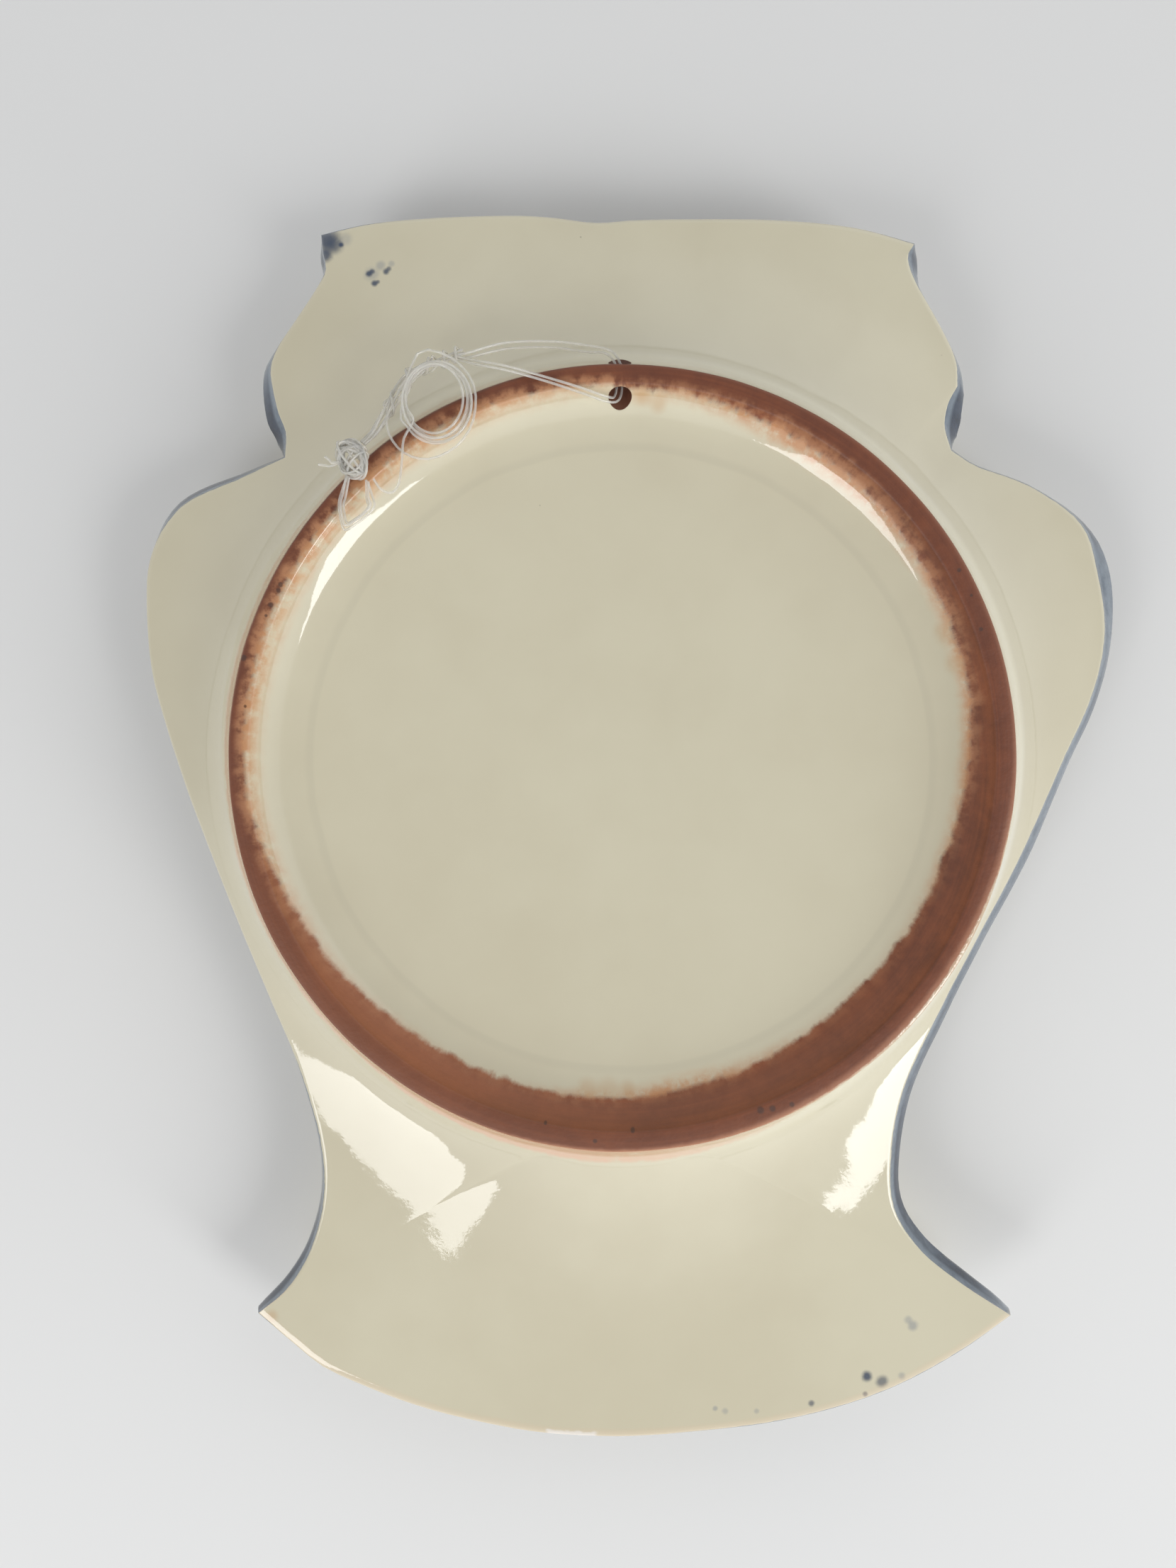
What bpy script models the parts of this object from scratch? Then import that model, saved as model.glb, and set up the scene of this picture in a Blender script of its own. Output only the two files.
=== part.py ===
"""Vase-shaped wall plate of glazed red clay, with its nylon hanging line.

The plate is upright, as it hangs: +Z is up, the painted face looks along -Y and
the back, with the foot ring, along +Y. The origin lies on the flat crest of the
foot ring at twelve o'clock, over the hanging tunnel. Lengths are in metres.

Every piece is modelled as the back of the plate is seen: right, up and back are
the local x, y and z of an empty at the centre of the foot ring, in the plane of
its crest. The line's pieces are measured from the crest's middle, as the ring
runs: along it clockwise from twelve o'clock, outward from it, and back.
"""

import math

import bmesh
import bpy
from mathutils import Vector

# Plate, overall. The width and height are those of the back's edge.
PLATE_WIDTH = 0.200
PLATE_HEIGHT = 0.256
PLATE_DEPTH = 0.026
EDGE_THICKNESS = 0.0055
EDGE_ROUNDING = 0.0007
# The least ledge between the foot ring and the edge.
FLANK_LEDGE = 0.006

# Foot ring: the outer radius, the flat crest, and the cove at its outer wall.
FOOT_RADIUS = 0.0766
FOOT_CREST_WIDTH = 0.0029
FOOT_ROUNDING = 0.0006
FOOT_DROP = 0.0045
FOOT_COVE = 0.0022

# Flange: it falls away the faster, the narrower it is. The first is how far out it
# would fall by two thirds if it were endless, the second that as a share of a
# narrow ledge.
FLANGE_SPREAD = 0.032
FLANK_SPREAD = 0.75

# Round recess inside the foot ring, and the dish on the painted face behind it.
RECESS_DEPTH = 0.0072
RECESS_COVE = 0.0033
FLOOR_THICKNESS = 0.006
DISH_INSET = 0.0106
DISH_SPREAD = 0.45

# Hanging tunnel, bored under the crest at twelve o'clock, halfway down the recess. It
# was bored from inside the ring, so it dips a little towards its outer mouth.
TUNNEL_RADIUS = 0.00225
TUNNEL_OFFSET = -0.0004
TUNNEL_LENGTH = 0.024
TUNNEL_DIP = math.radians(10)

# Nylon line. Centres are along, outward and back.
LINE_DIAMETER = 0.0005
BUNDLE_DIAMETER = 0.0024
FIRST_KNOT_CENTRE = (-0.0307, 0.0107, -0.0015)
FIRST_KNOT_SIZE = (0.0066, 0.0029, 0.0026)
COIL_CENTRE = (-0.0368, 0.0036, 0.0017)
COIL_RADIUS = 0.0069
COIL_WIDTH = 0.0026
COIL_THICKNESS = 0.0017
SECOND_KNOT_CENTRE = (-0.0548, 0.0028, 0.0027)
SECOND_KNOT_SIZE = (0.0070, 0.0094, 0.0042)
SECOND_KNOT_TURN = math.radians(-27)
END_LOOPS_BACK = 0.0013
END_LOOPS_THICKNESS = 0.0012

# The edge of the back, clockwise as seen, in stretches between sharp corners.
# Each mark is a share of the plate's width to the right of the foot ring's centre,
# a share of its height above it, and how far the painted side stands out past the
# back there. The count is how many points the stretch gets.
EDGE = [
    ("top edge", 18, [
        (-0.314, 0.431, 0.0010), (-0.264, 0.440, 0.0009), (-0.204, 0.444, 0.0008),
        (-0.137, 0.446, 0.0008), (-0.078, 0.445, 0.0008), (-0.027, 0.440, 0.0008),
        (0.019, 0.442, 0.0008), (0.094, 0.443, 0.0008), (0.176, 0.442, 0.0009),
        (0.250, 0.436, 0.0010), (0.310, 0.424, 0.0016),
    ]),
    ("right lip", 9, [
        (0.310, 0.424, 0.0016), (0.303, 0.414, 0.0030), (0.307, 0.399, 0.0024),
        (0.319, 0.380, 0.0012), (0.339, 0.351, 0.0014), (0.353, 0.327, 0.0018),
        (0.354, 0.306, 0.0026),
    ]),
    ("right neck", 4, [
        (0.354, 0.306, 0.0026), (0.343, 0.290, 0.0042), (0.339, 0.272, 0.0040),
        (0.345, 0.252, 0.0020),
    ]),
    ("right side", 32, [
        (0.345, 0.252, 0.0020), (0.373, 0.239, 0.0016), (0.432, 0.223, 0.0016),
        (0.484, 0.194, 0.0022), (0.501, 0.156, 0.0042), (0.509, 0.103, 0.0030),
        (0.494, 0.050, 0.0026), (0.460, -0.005, 0.0026), (0.417, -0.077, 0.0030),
        (0.371, -0.145, 0.0028), (0.329, -0.211, 0.0028), (0.297, -0.269, 0.0028),
        (0.285, -0.323, 0.0026), (0.289, -0.368, 0.0024), (0.317, -0.403, 0.0022),
        (0.363, -0.432, 0.0018), (0.412, -0.457, 0.0010),
    ]),
    ("foot", 16, [
        (0.412, -0.457, 0.0010), (0.353, -0.489, 0.0008), (0.273, -0.521, 0.0007),
        (0.176, -0.542, 0.0006), (0.081, -0.552, 0.0006), (-0.011, -0.556, 0.0006),
        (-0.100, -0.551, 0.0006), (-0.204, -0.533, 0.0006), (-0.301, -0.504, 0.0007),
        (-0.342, -0.481, 0.0008), (-0.381, -0.455, 0.0010),
    ]),
    ("left side", 31, [
        (-0.381, -0.455, 0.0010), (-0.351, -0.435, 0.0014), (-0.326, -0.403, 0.0014),
        (-0.312, -0.360, 0.0012), (-0.315, -0.312, 0.0012), (-0.335, -0.255, 0.0012),
        (-0.366, -0.194, 0.0012), (-0.410, -0.109, 0.0012), (-0.456, -0.014, 0.0012),
        (-0.487, 0.061, 0.0012), (-0.496, 0.123, 0.0012), (-0.491, 0.169, 0.0014),
        (-0.460, 0.208, 0.0022), (-0.391, 0.232, 0.0021), (-0.349, 0.246, 0.0018),
    ]),
    ("left neck", 12, [
        (-0.349, 0.246, 0.0018), (-0.349, 0.267, 0.0030), (-0.359, 0.287, 0.0034),
        (-0.367, 0.318, 0.0024), (-0.360, 0.337, 0.0016), (-0.340, 0.361, 0.0012),
        (-0.316, 0.390, 0.0012), (-0.309, 0.403, 0.0014), (-0.312, 0.417, 0.0014),
        (-0.314, 0.431, 0.0010),
    ]),
]
# How often what changes around the plate is averaged with its neighbours, so that
# the flange has no crease where the edge has a corner.
EVENING_ROUNDS = 20

# The plate's surfaces are drawn along spokes from the foot ring to the edge, which
# would all meet in a pole if they ran on. For the lower edge it lies low inside the
# ring, as a share of its radius, so that no spoke runs out through the narrow waist.
# Between these shares of the height, it moves up to the ring's centre.
SPOKE_POLE = -0.9
POLE_RISE = (-0.23, 0.12)

# The line's routes, along, outward and back. The two strands lie side by side: the
# outer one passes through the right of the tunnel, the inner one through its left.
OUTER_STRAND = [
    (-0.0269, 0.0100, -0.0013), (-0.0205, 0.0102, -0.0030), (-0.0126, 0.0089, -0.0042),
    (-0.0060, 0.0073, -0.0047), (-0.0019, 0.0059, -0.0045), (-0.0001, 0.0027, -0.0042),
    (0.0001, -0.0006, -0.0040), (-0.0006, -0.0041, -0.0029), (-0.0030, -0.0048, -0.0020),
    (-0.0084, -0.0032, -0.0002), (-0.0152, -0.0001, 0.0008), (-0.0215, 0.0037, 0.0004),
    (-0.0269, 0.0075, -0.0010),
]
INNER_STRAND = [
    (-0.0270, 0.0093, -0.0020), (-0.0204, 0.0092, -0.0037), (-0.0128, 0.0080, -0.0049),
    (-0.0066, 0.0064, -0.0055), (-0.0032, 0.0056, -0.0046), (-0.0014, 0.0035, -0.0039),
    (-0.0010, 0.0000, -0.0037), (-0.0015, -0.0034, -0.0027), (-0.0030, -0.0040, -0.0015),
    (-0.0085, -0.0023, 0.0003), (-0.0153, 0.0008, 0.0008), (-0.0217, 0.0048, 0.0002),
    (-0.0270, 0.0085, -0.0014),
]
BUNDLE = [
    (-0.0348, 0.0111, -0.0014), (-0.0392, 0.0100, -0.0013), (-0.0450, 0.0067, -0.0010),
    (-0.0490, 0.0047, 0.0002),
]
LONG_LOOP = [
    (-0.0448, 0.0002, 0.0012), (-0.0475, -0.0029, 0.0012), (-0.0509, -0.0061, 0.0012),
    (-0.0534, -0.0067, 0.0013), (-0.0547, -0.0049, 0.0015), (-0.0544, -0.0025, 0.0019),
]
TAIL = [
    (-0.0583, 0.0047, 0.0028), (-0.0587, 0.0059, 0.0028), (-0.0591, 0.0072, 0.0028),
]
END_LOOPS = [
    (-0.0604, 0.0003), (-0.0626, -0.0009), (-0.0646, -0.0030), (-0.0659, -0.0051),
    (-0.0635, -0.0060), (-0.0603, -0.0065), (-0.0580, -0.0062), (-0.0569, -0.0045),
]


for old in list(bpy.data.objects):
    bpy.data.objects.remove(old, do_unlink=True)


def new_collection(name):
    collection = bpy.data.collections.new(name)
    bpy.context.scene.collection.children.link(collection)
    return collection


PARTS = new_collection("vase_wall_plate")
CUTTERS = new_collection("cutters")


def material(name, colour, roughness, metallic=0.0):
    made = bpy.data.materials.new(name)
    made.use_nodes = True
    shader = made.node_tree.nodes["Principled BSDF"]
    shader.inputs["Base Color"].default_value = (*colour, 1.0)
    shader.inputs["Roughness"].default_value = roughness
    shader.inputs["Metallic"].default_value = metallic
    return made


CREAM_GLAZE = material("cream_glaze", (0.67, 0.64, 0.51), 0.18)
CLEAR_NYLON = material("clear_nylon", (0.80, 0.78, 0.70), 0.25)


# The empty that turns right, up and back into world axes. Twelve o'clock of the
# crest's middle is the origin.
FOOT_CREST_RADIUS = FOOT_RADIUS - FOOT_ROUNDING - FOOT_CREST_WIDTH / 2
back_view = bpy.data.objects.new("back_view", None)
back_view.location = (0.0, 0.0, -FOOT_CREST_RADIUS)
back_view.rotation_euler = (math.pi / 2, 0.0, math.pi)
PARTS.objects.link(back_view)


def place(name, data, finish, location=(0.0, 0.0, 0.0), rotation=(0.0, 0.0, 0.0)):
    """A new part from its mesh or curve, with its material, in the back view's axes."""
    part = bpy.data.objects.new(name, data)
    data.materials.append(finish)
    part.location = location
    part.rotation_euler = rotation
    part.parent = back_view
    PARTS.objects.link(part)
    return part


def smooth_curve(marks, steps):
    """Points on a smooth curve through the marks, with this many steps between marks."""
    marks = [Vector(mark) for mark in marks]
    before = marks[0] * 2 - marks[1]
    after = marks[-1] * 2 - marks[-2]
    marks = [before, *marks, after]
    points = []
    for first in range(len(marks) - 3):
        a, b, c, d = marks[first : first + 4]
        for step in range(steps):
            t = step / steps
            points.append(
                0.5 * (2 * b + (c - a) * t + (2 * a - 5 * b + 4 * c - d) * t**2
                       + (3 * b - a - 3 * c + d) * t**3)
            )
    return [*points, marks[-2]]


def evenly_spaced(points, count):
    """The start of each of count equal lengths of a run of points."""
    lengths = [(b.xy - a.xy).length for a, b in zip(points, points[1:])]
    total = sum(lengths)
    spaced = []
    for number in range(count):
        way = total * number / count
        place_in_run = 0
        while way > lengths[place_in_run] and place_in_run < len(lengths) - 1:
            way -= lengths[place_in_run]
            place_in_run += 1
        share = way / lengths[place_in_run]
        spaced.append(points[place_in_run].lerp(points[place_in_run + 1], share))
    return spaced


def edge_points():
    """The back's edge as (right, up, flare) points, kept clear of the foot ring."""
    points = []
    for _, count, marks in EDGE:
        sized = [(x * PLATE_WIDTH, y * PLATE_HEIGHT, flare) for x, y, flare in marks]
        points += evenly_spaced(smooth_curve(sized, 12), count)
    for point in points:
        short = FOOT_RADIUS + FLANK_LEDGE - point.xy.length
        if short > 0:
            outward = point.xy.normalized() * short
            point.x += outward.x
            point.y += outward.y
    return points


def outward_ways(points):
    """For each edge point, the way square to the edge, in the plane of the plate."""
    ways = []
    for number, point in enumerate(points):
        along = points[(number + 1) % len(points)].xy - points[number - 1].xy
        ways.append(Vector((-along.y, along.x)).normalized())
    return ways


def evened(values):
    """Values around the plate, averaged over and over with their neighbours."""
    for _ in range(EVENING_ROUNDS):
        earlier = [values[-1], *values[:-1]]
        later = [*values[1:], values[0]]
        values = [(a + 2 * b + c) / 4 for a, b, c in zip(earlier, values, later)]
    return values


def spoke_foot(point):
    """Where the spoke to this edge point crosses the foot ring's outer radius."""
    low, high = POLE_RISE
    share = min(max((point.y / PLATE_HEIGHT - low) / (high - low), 0.0), 1.0)
    risen = share * share * (3 - 2 * share)
    pole = Vector((0.0, SPOKE_POLE * FOOT_RADIUS * (1 - risen)))
    way = (point.xy - pole).normalized()
    middle = pole.dot(way)
    return pole + way * (math.sqrt(middle**2 + FOOT_RADIUS**2 - pole.length_squared) - middle)


def spoke_bearings(points):
    """The bearing at which each spoke leaves the foot ring, clockwise, evened out."""
    step = 2 * math.pi / len(points)
    offsets = []
    for number, point in enumerate(points):
        foot = spoke_foot(point)
        offset = math.atan2(foot.x, foot.y) - step * number
        while offsets and offset < offsets[-1] - math.pi:
            offset += 2 * math.pi
        offsets.append(offset)
    return [step * number + offset for number, offset in enumerate(evened(offsets))]


def around(radius, bearings, back):
    """A ring of points about the foot ring's centre."""
    return [Vector((radius * math.sin(b), radius * math.cos(b), back)) for b in bearings]


def fallen(way, spread, power=1.0):
    """The share of its whole fall that a slope has behind it, this far out."""
    return 1 - math.exp(-((way / spread) ** power))


def plate_rings():
    """Rings of points from the recess's middle, over the foot and the edge, to the dish."""
    edge = edge_points()
    outward = outward_ways(edge)
    bearings = spoke_bearings(edge)
    crest_outside = FOOT_RADIUS - FOOT_ROUNDING
    crest_inside = crest_outside - FOOT_CREST_WIDTH
    recess_radius = crest_inside - FOOT_ROUNDING

    rings = []
    for inset in (8.0, 3.6, 2.1, 1.25, 0.66, 0.27):
        fall = FOOT_ROUNDING + (RECESS_DEPTH - FOOT_ROUNDING) * fallen(inset, 1.0)
        rings.append(around(recess_radius - inset * RECESS_COVE, bearings, -fall))
    rings.append(around(recess_radius, bearings, -FOOT_ROUNDING))
    rings.append(around(crest_inside, bearings, 0.0))
    rings.append(around(crest_outside, bearings, 0.0))
    rings.append(around(FOOT_RADIUS, bearings, -FOOT_ROUNDING))

    # The flange, out to the back's edge.
    foot = rings[-1]
    ledges = [(e.xy - f.xy).length for e, f in zip(edge, foot)]
    spreads = evened([1 / (1 / (FLANK_SPREAD * w) + 1 / FLANGE_SPREAD) for w in ledges])
    deepest = PLATE_DEPTH - EDGE_THICKNESS - FOOT_ROUNDING - FOOT_DROP
    flange_drop = deepest / max(fallen(w, spread) for w, spread in zip(ledges, spreads))

    def flange_back(flat, way, spread):
        cove = FOOT_DROP * fallen(max(flat.length - FOOT_RADIUS, 0.0), FOOT_COVE)
        return -FOOT_ROUNDING - cove - flange_drop * fallen(way, spread)

    coves = [min(3 * FOOT_COVE, 0.55 * w) for w in ledges]
    ways = [[share * cove for cove in coves] for share in (0.14, 0.34, 0.62, 1.0)]
    for share in (0.3, 0.66, 1.0):
        ways.append([c + share * (w - EDGE_ROUNDING - c) for c, w in zip(coves, ledges)])
    for ring_ways in ways:
        ring = []
        for e, f, ledge, spread, way in zip(edge, foot, ledges, spreads, ring_ways):
            flat = f.xy.lerp(e.xy, way / ledge)
            ring.append(Vector((*flat, flange_back(flat, way, spread))))
        rings.append(ring)
    edge_backs = [flange_back(e.xy, w, spread) for e, w, spread in zip(edge, ledges, spreads)]

    # The dish on the painted side, from its floor out to the edge.
    floor_back = -RECESS_DEPTH - FLOOR_THICKNESS
    floor = around(FOOT_RADIUS - DISH_INSET, bearings, floor_back)
    rim = [e.xy + way * (e.z - EDGE_ROUNDING) for e, way in zip(edge, outward)]
    reaches = [(r - f.xy).length for r, f in zip(rim, floor)]
    dish_spreads = evened([DISH_SPREAD * reach for reach in reaches])
    drops = evened([floor_back + EDGE_THICKNESS - back for back in edge_backs])

    def dish_back(way, spread, drop):
        return floor_back - drop * fallen(way, spread, 1.5) / fallen(1.0, DISH_SPREAD, 1.5)

    fronts = [dish_back(*at) for at in zip(reaches, dish_spreads, drops)]

    # The edge's side leans out from the back's corner to the painted side's.
    for lean, share in ((0.0, 0.0), (0.55, 0.5), (1.0, 1.0)):
        ring = []
        for e, way, back, front in zip(edge, outward, edge_backs, fronts):
            high = back - EDGE_ROUNDING
            low = front + EDGE_ROUNDING
            ring.append(Vector((*(e.xy + way * lean * e.z), high + share * (low - high))))
        rings.append(ring)

    for share in (1.0, 0.78, 0.56, 0.37, 0.22, 0.1, 0.0):
        ring = []
        for f, r, reach, spread, drop in zip(floor, rim, reaches, dish_spreads, drops):
            back = dish_back(share * reach, spread, drop)
            ring.append(Vector((*f.xy.lerp(r, share), back)))
        rings.append(ring)
    rings.append(around((FOOT_RADIUS - DISH_INSET) * 0.6, bearings, floor_back))
    return rings


def loft(name, rings):
    """A closed mesh through rings of equal counts, with a fan to a middle at each end."""
    form = bmesh.new()
    rows = [[form.verts.new(point) for point in ring] for ring in rings]
    count = len(rows[0])
    for row, following in zip(rows, rows[1:]):
        for number in range(count):
            other = (number + 1) % count
            form.faces.new((row[number], row[other], following[other], following[number]))
    for row, order in ((rows[0], -1), (rows[-1], 1)):
        middle = form.verts.new((0.0, 0.0, row[0].co.z))
        for number in range(count):
            pair = (row[number], row[(number + 1) % count])
            form.faces.new((middle, *pair[::order]))
    bmesh.ops.recalc_face_normals(form, faces=form.faces)
    mesh = bpy.data.meshes.new(name)
    form.to_mesh(mesh)
    form.free()
    mesh.shade_smooth()
    return mesh


# The plate, and the tunnel that is bored through it under the crest.
plate = place("plate", loft("plate", plate_rings()), CREAM_GLAZE)

bpy.ops.mesh.primitive_cylinder_add(vertices=20, radius=TUNNEL_RADIUS, depth=TUNNEL_LENGTH)
tunnel = bpy.context.object
tunnel.name = "tunnel_cutter"
tunnel.location = (TUNNEL_OFFSET, FOOT_CREST_RADIUS, -RECESS_DEPTH / 2)
tunnel.rotation_euler = (math.pi / 2 - TUNNEL_DIP, 0.0, 0.0)
tunnel.parent = back_view
tunnel.hide_render = True
tunnel.display_type = "WIRE"
for held_in in tunnel.users_collection:
    held_in.objects.unlink(tunnel)
CUTTERS.objects.link(tunnel)

bore = plate.modifiers.new("hanging_tunnel", "BOOLEAN")
bore.operation = "DIFFERENCE"
bore.solver = "EXACT"
bore.object = tunnel


def by_ring(along, outward, back):
    """A point measured from the middle of the foot ring's crest, as the ring runs."""
    bearing = along / FOOT_CREST_RADIUS
    radius = FOOT_CREST_RADIUS + outward
    return Vector((radius * math.sin(bearing), radius * math.cos(bearing), back))


def place_by_ring(name, data, centre, turn=0.0):
    """A piece of the line, square to the ring where it lies, or turned from that."""
    return place(name, data, CLEAR_NYLON, by_ring(*centre),
                 (0.0, 0.0, turn - centre[0] / FOOT_CREST_RADIUS))


def tube(name, route, diameter):
    """A round cord solid along a smooth curve through its route."""
    curve = bpy.data.curves.new(name, "CURVE")
    curve.dimensions = "3D"
    curve.bevel_depth = diameter / 2
    curve.bevel_resolution = 2
    curve.use_fill_caps = True
    spline = curve.splines.new("POLY")
    points = smooth_curve(route, 2)
    spline.points.add(len(points) - 1)
    for knot, point in zip(spline.points, points):
        knot.co = (*by_ring(*point), 1.0)
    return place(name, curve, CLEAR_NYLON)


def lump(name, centre, size, turn=0.0):
    """A rounded lump for a knot."""
    form = bmesh.new()
    bmesh.ops.create_uvsphere(form, u_segments=12, v_segments=8, radius=0.5)
    bmesh.ops.scale(form, vec=size, verts=form.verts)
    mesh = bpy.data.meshes.new(name)
    form.to_mesh(mesh)
    form.free()
    mesh.shade_smooth()
    return place_by_ring(name, mesh, centre, turn)


# The two strands that pass through the tunnel, the knot that holds them and the
# strands that run on from it, side by side.
tube("hanging_line_outer_strand", OUTER_STRAND, LINE_DIAMETER)
tube("hanging_line_inner_strand", INNER_STRAND, LINE_DIAMETER)
lump("hanging_line_first_knot", FIRST_KNOT_CENTRE, FIRST_KNOT_SIZE)
tube("hanging_line_bundle", BUNDLE, BUNDLE_DIAMETER)

# The coil of spare line: a turned ring with a flattened section.
coil_profile = bmesh.new()
corners = []
for number in range(8):
    turn = number * math.pi / 4
    across = COIL_RADIUS + COIL_WIDTH / 2 * math.cos(turn)
    corners.append(coil_profile.verts.new((across, 0.0, COIL_THICKNESS / 2 * math.sin(turn))))
for number, corner in enumerate(corners):
    coil_profile.edges.new((corner, corners[number - 1]))
coil_mesh = bpy.data.meshes.new("hanging_line_coil")
coil_profile.to_mesh(coil_mesh)
coil_profile.free()
coil = place_by_ring("hanging_line_coil", coil_mesh, COIL_CENTRE)
turned = coil.modifiers.new("turned", "SCREW")
turned.axis = "Z"
turned.angle = 2 * math.pi
turned.steps = 28
turned.render_steps = 28
turned.use_merge_vertices = True
turned.merge_threshold = 0.00001

# What hangs out of the coil, the second knot, and its loops and cut ends.
tube("hanging_line_long_loop", LONG_LOOP, LINE_DIAMETER)
lump("hanging_line_second_knot", SECOND_KNOT_CENTRE, SECOND_KNOT_SIZE, SECOND_KNOT_TURN)
tube("hanging_line_tail", TAIL, LINE_DIAMETER * 2)

end_loops = bpy.data.curves.new("hanging_line_end_loops", "CURVE")
end_loops.dimensions = "2D"
end_loops.fill_mode = "BOTH"
end_loops.extrude = END_LOOPS_THICKNESS / 2
end_loops.resolution_u = 3
outline = end_loops.splines.new("BEZIER")
outline.bezier_points.add(len(END_LOOPS) - 1)
outline.use_cyclic_u = True
for knot, (along, outward) in zip(outline.bezier_points, END_LOOPS):
    knot.co = by_ring(along, outward, 0.0)
    knot.handle_left_type = "AUTO"
    knot.handle_right_type = "AUTO"
place("hanging_line_end_loops", end_loops, CLEAR_NYLON, (0.0, 0.0, END_LOOPS_BACK))
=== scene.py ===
import math

import bpy
from mathutils import Matrix, Vector, noise


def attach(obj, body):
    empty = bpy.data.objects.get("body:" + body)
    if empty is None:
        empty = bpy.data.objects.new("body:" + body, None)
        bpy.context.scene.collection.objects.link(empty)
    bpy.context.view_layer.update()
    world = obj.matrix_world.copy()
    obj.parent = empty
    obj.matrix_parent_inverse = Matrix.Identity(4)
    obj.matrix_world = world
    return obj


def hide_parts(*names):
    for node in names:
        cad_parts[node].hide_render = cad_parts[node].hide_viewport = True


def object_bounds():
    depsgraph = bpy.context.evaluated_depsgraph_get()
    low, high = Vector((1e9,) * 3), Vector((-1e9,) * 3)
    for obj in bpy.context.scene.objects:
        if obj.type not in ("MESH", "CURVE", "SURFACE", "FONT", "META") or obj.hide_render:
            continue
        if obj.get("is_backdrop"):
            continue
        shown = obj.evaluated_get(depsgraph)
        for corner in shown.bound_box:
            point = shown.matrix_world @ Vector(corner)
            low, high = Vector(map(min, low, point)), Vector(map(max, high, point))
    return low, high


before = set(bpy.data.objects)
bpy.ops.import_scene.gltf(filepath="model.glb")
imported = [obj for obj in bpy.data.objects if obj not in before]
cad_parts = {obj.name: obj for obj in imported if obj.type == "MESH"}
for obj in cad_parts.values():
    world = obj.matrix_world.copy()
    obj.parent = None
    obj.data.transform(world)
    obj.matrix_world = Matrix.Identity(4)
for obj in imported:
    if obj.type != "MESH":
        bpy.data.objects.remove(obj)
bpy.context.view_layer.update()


# The camera. The plate is seen square from behind, from a quarter of a metre over its
# back, a little below and to the left of the foot ring's centre. The lens is as wide
# as a phone's.
FOOT_CREST_RADIUS = 0.07455
camera = bpy.data.objects.new("camera", bpy.data.cameras.new("camera"))
camera.location = (0.0067, 0.246, -FOOT_CREST_RADIUS - 0.0051)
camera.rotation_euler = (math.pi / 2, 0.0, math.pi)
camera.data.sensor_width = 36.0
camera.data.lens = 29.1
camera.data.clip_start = 0.01
bpy.context.scene.collection.objects.link(camera)
bpy.context.scene.camera = camera
bpy.context.scene.view_settings.view_transform = "Standard"


# The hanging line. It is one length of clear nylon monofilament, half a millimetre
# thick, doubled through the tunnel under the foot ring, knotted, wound into a small
# coil and knotted again. It is stiff enough to stand off the plate in loose bends.
LINE_DIAMETER = 0.0005
OUTER_STRAND = [
    (-0.0269, 0.0100, -0.0013), (-0.0205, 0.0102, -0.0030), (-0.0126, 0.0089, -0.0042),
    (-0.0060, 0.0073, -0.0047), (-0.0019, 0.0059, -0.0045), (-0.0001, 0.0027, -0.0042),
    (0.0001, -0.0006, -0.0040), (-0.0006, -0.0041, -0.0029), (-0.0030, -0.0048, -0.0020),
    (-0.0084, -0.0032, -0.0002), (-0.0152, -0.0001, 0.0008), (-0.0215, 0.0037, 0.0004),
    (-0.0269, 0.0075, -0.0010),
]
INNER_STRAND = [
    (-0.0270, 0.0093, -0.0020), (-0.0204, 0.0092, -0.0037), (-0.0128, 0.0080, -0.0049),
    (-0.0066, 0.0064, -0.0055), (-0.0032, 0.0056, -0.0046), (-0.0014, 0.0035, -0.0039),
    (-0.0010, 0.0000, -0.0037), (-0.0015, -0.0034, -0.0027), (-0.0030, -0.0040, -0.0015),
    (-0.0085, -0.0023, 0.0003), (-0.0153, 0.0008, 0.0008), (-0.0217, 0.0048, 0.0002),
    (-0.0270, 0.0085, -0.0014),
]
BUNDLE = [
    (-0.0348, 0.0111, -0.0014), (-0.0392, 0.0100, -0.0013), (-0.0450, 0.0067, -0.0010),
    (-0.0490, 0.0047, 0.0002),
]
LONG_LOOP = [
    (-0.0544, -0.0025, 0.0019), (-0.0547, -0.0049, 0.0015), (-0.0534, -0.0067, 0.0013),
    (-0.0509, -0.0061, 0.0012), (-0.0475, -0.0029, 0.0012), (-0.0448, 0.0002, 0.0012),
]
END_LOOPS = [
    (-0.0604, 0.0003), (-0.0626, -0.0009), (-0.0646, -0.0030), (-0.0659, -0.0051),
    (-0.0635, -0.0060), (-0.0603, -0.0065), (-0.0580, -0.0062), (-0.0569, -0.0045),
]
TAIL = [
    (-0.0583, 0.0047, 0.0028), (-0.0587, 0.0059, 0.0028), (-0.0591, 0.0072, 0.0028),
]
FIRST_KNOT_CENTRE = (-0.0307, 0.0107, -0.0015)
FIRST_KNOT_REACH = 0.0029
SECOND_KNOT_CENTRE = (-0.0548, 0.0028, 0.0027)
COIL_CENTRE = (-0.0368, 0.0036, 0.0017)
WINDING_STEPS = 14


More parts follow.
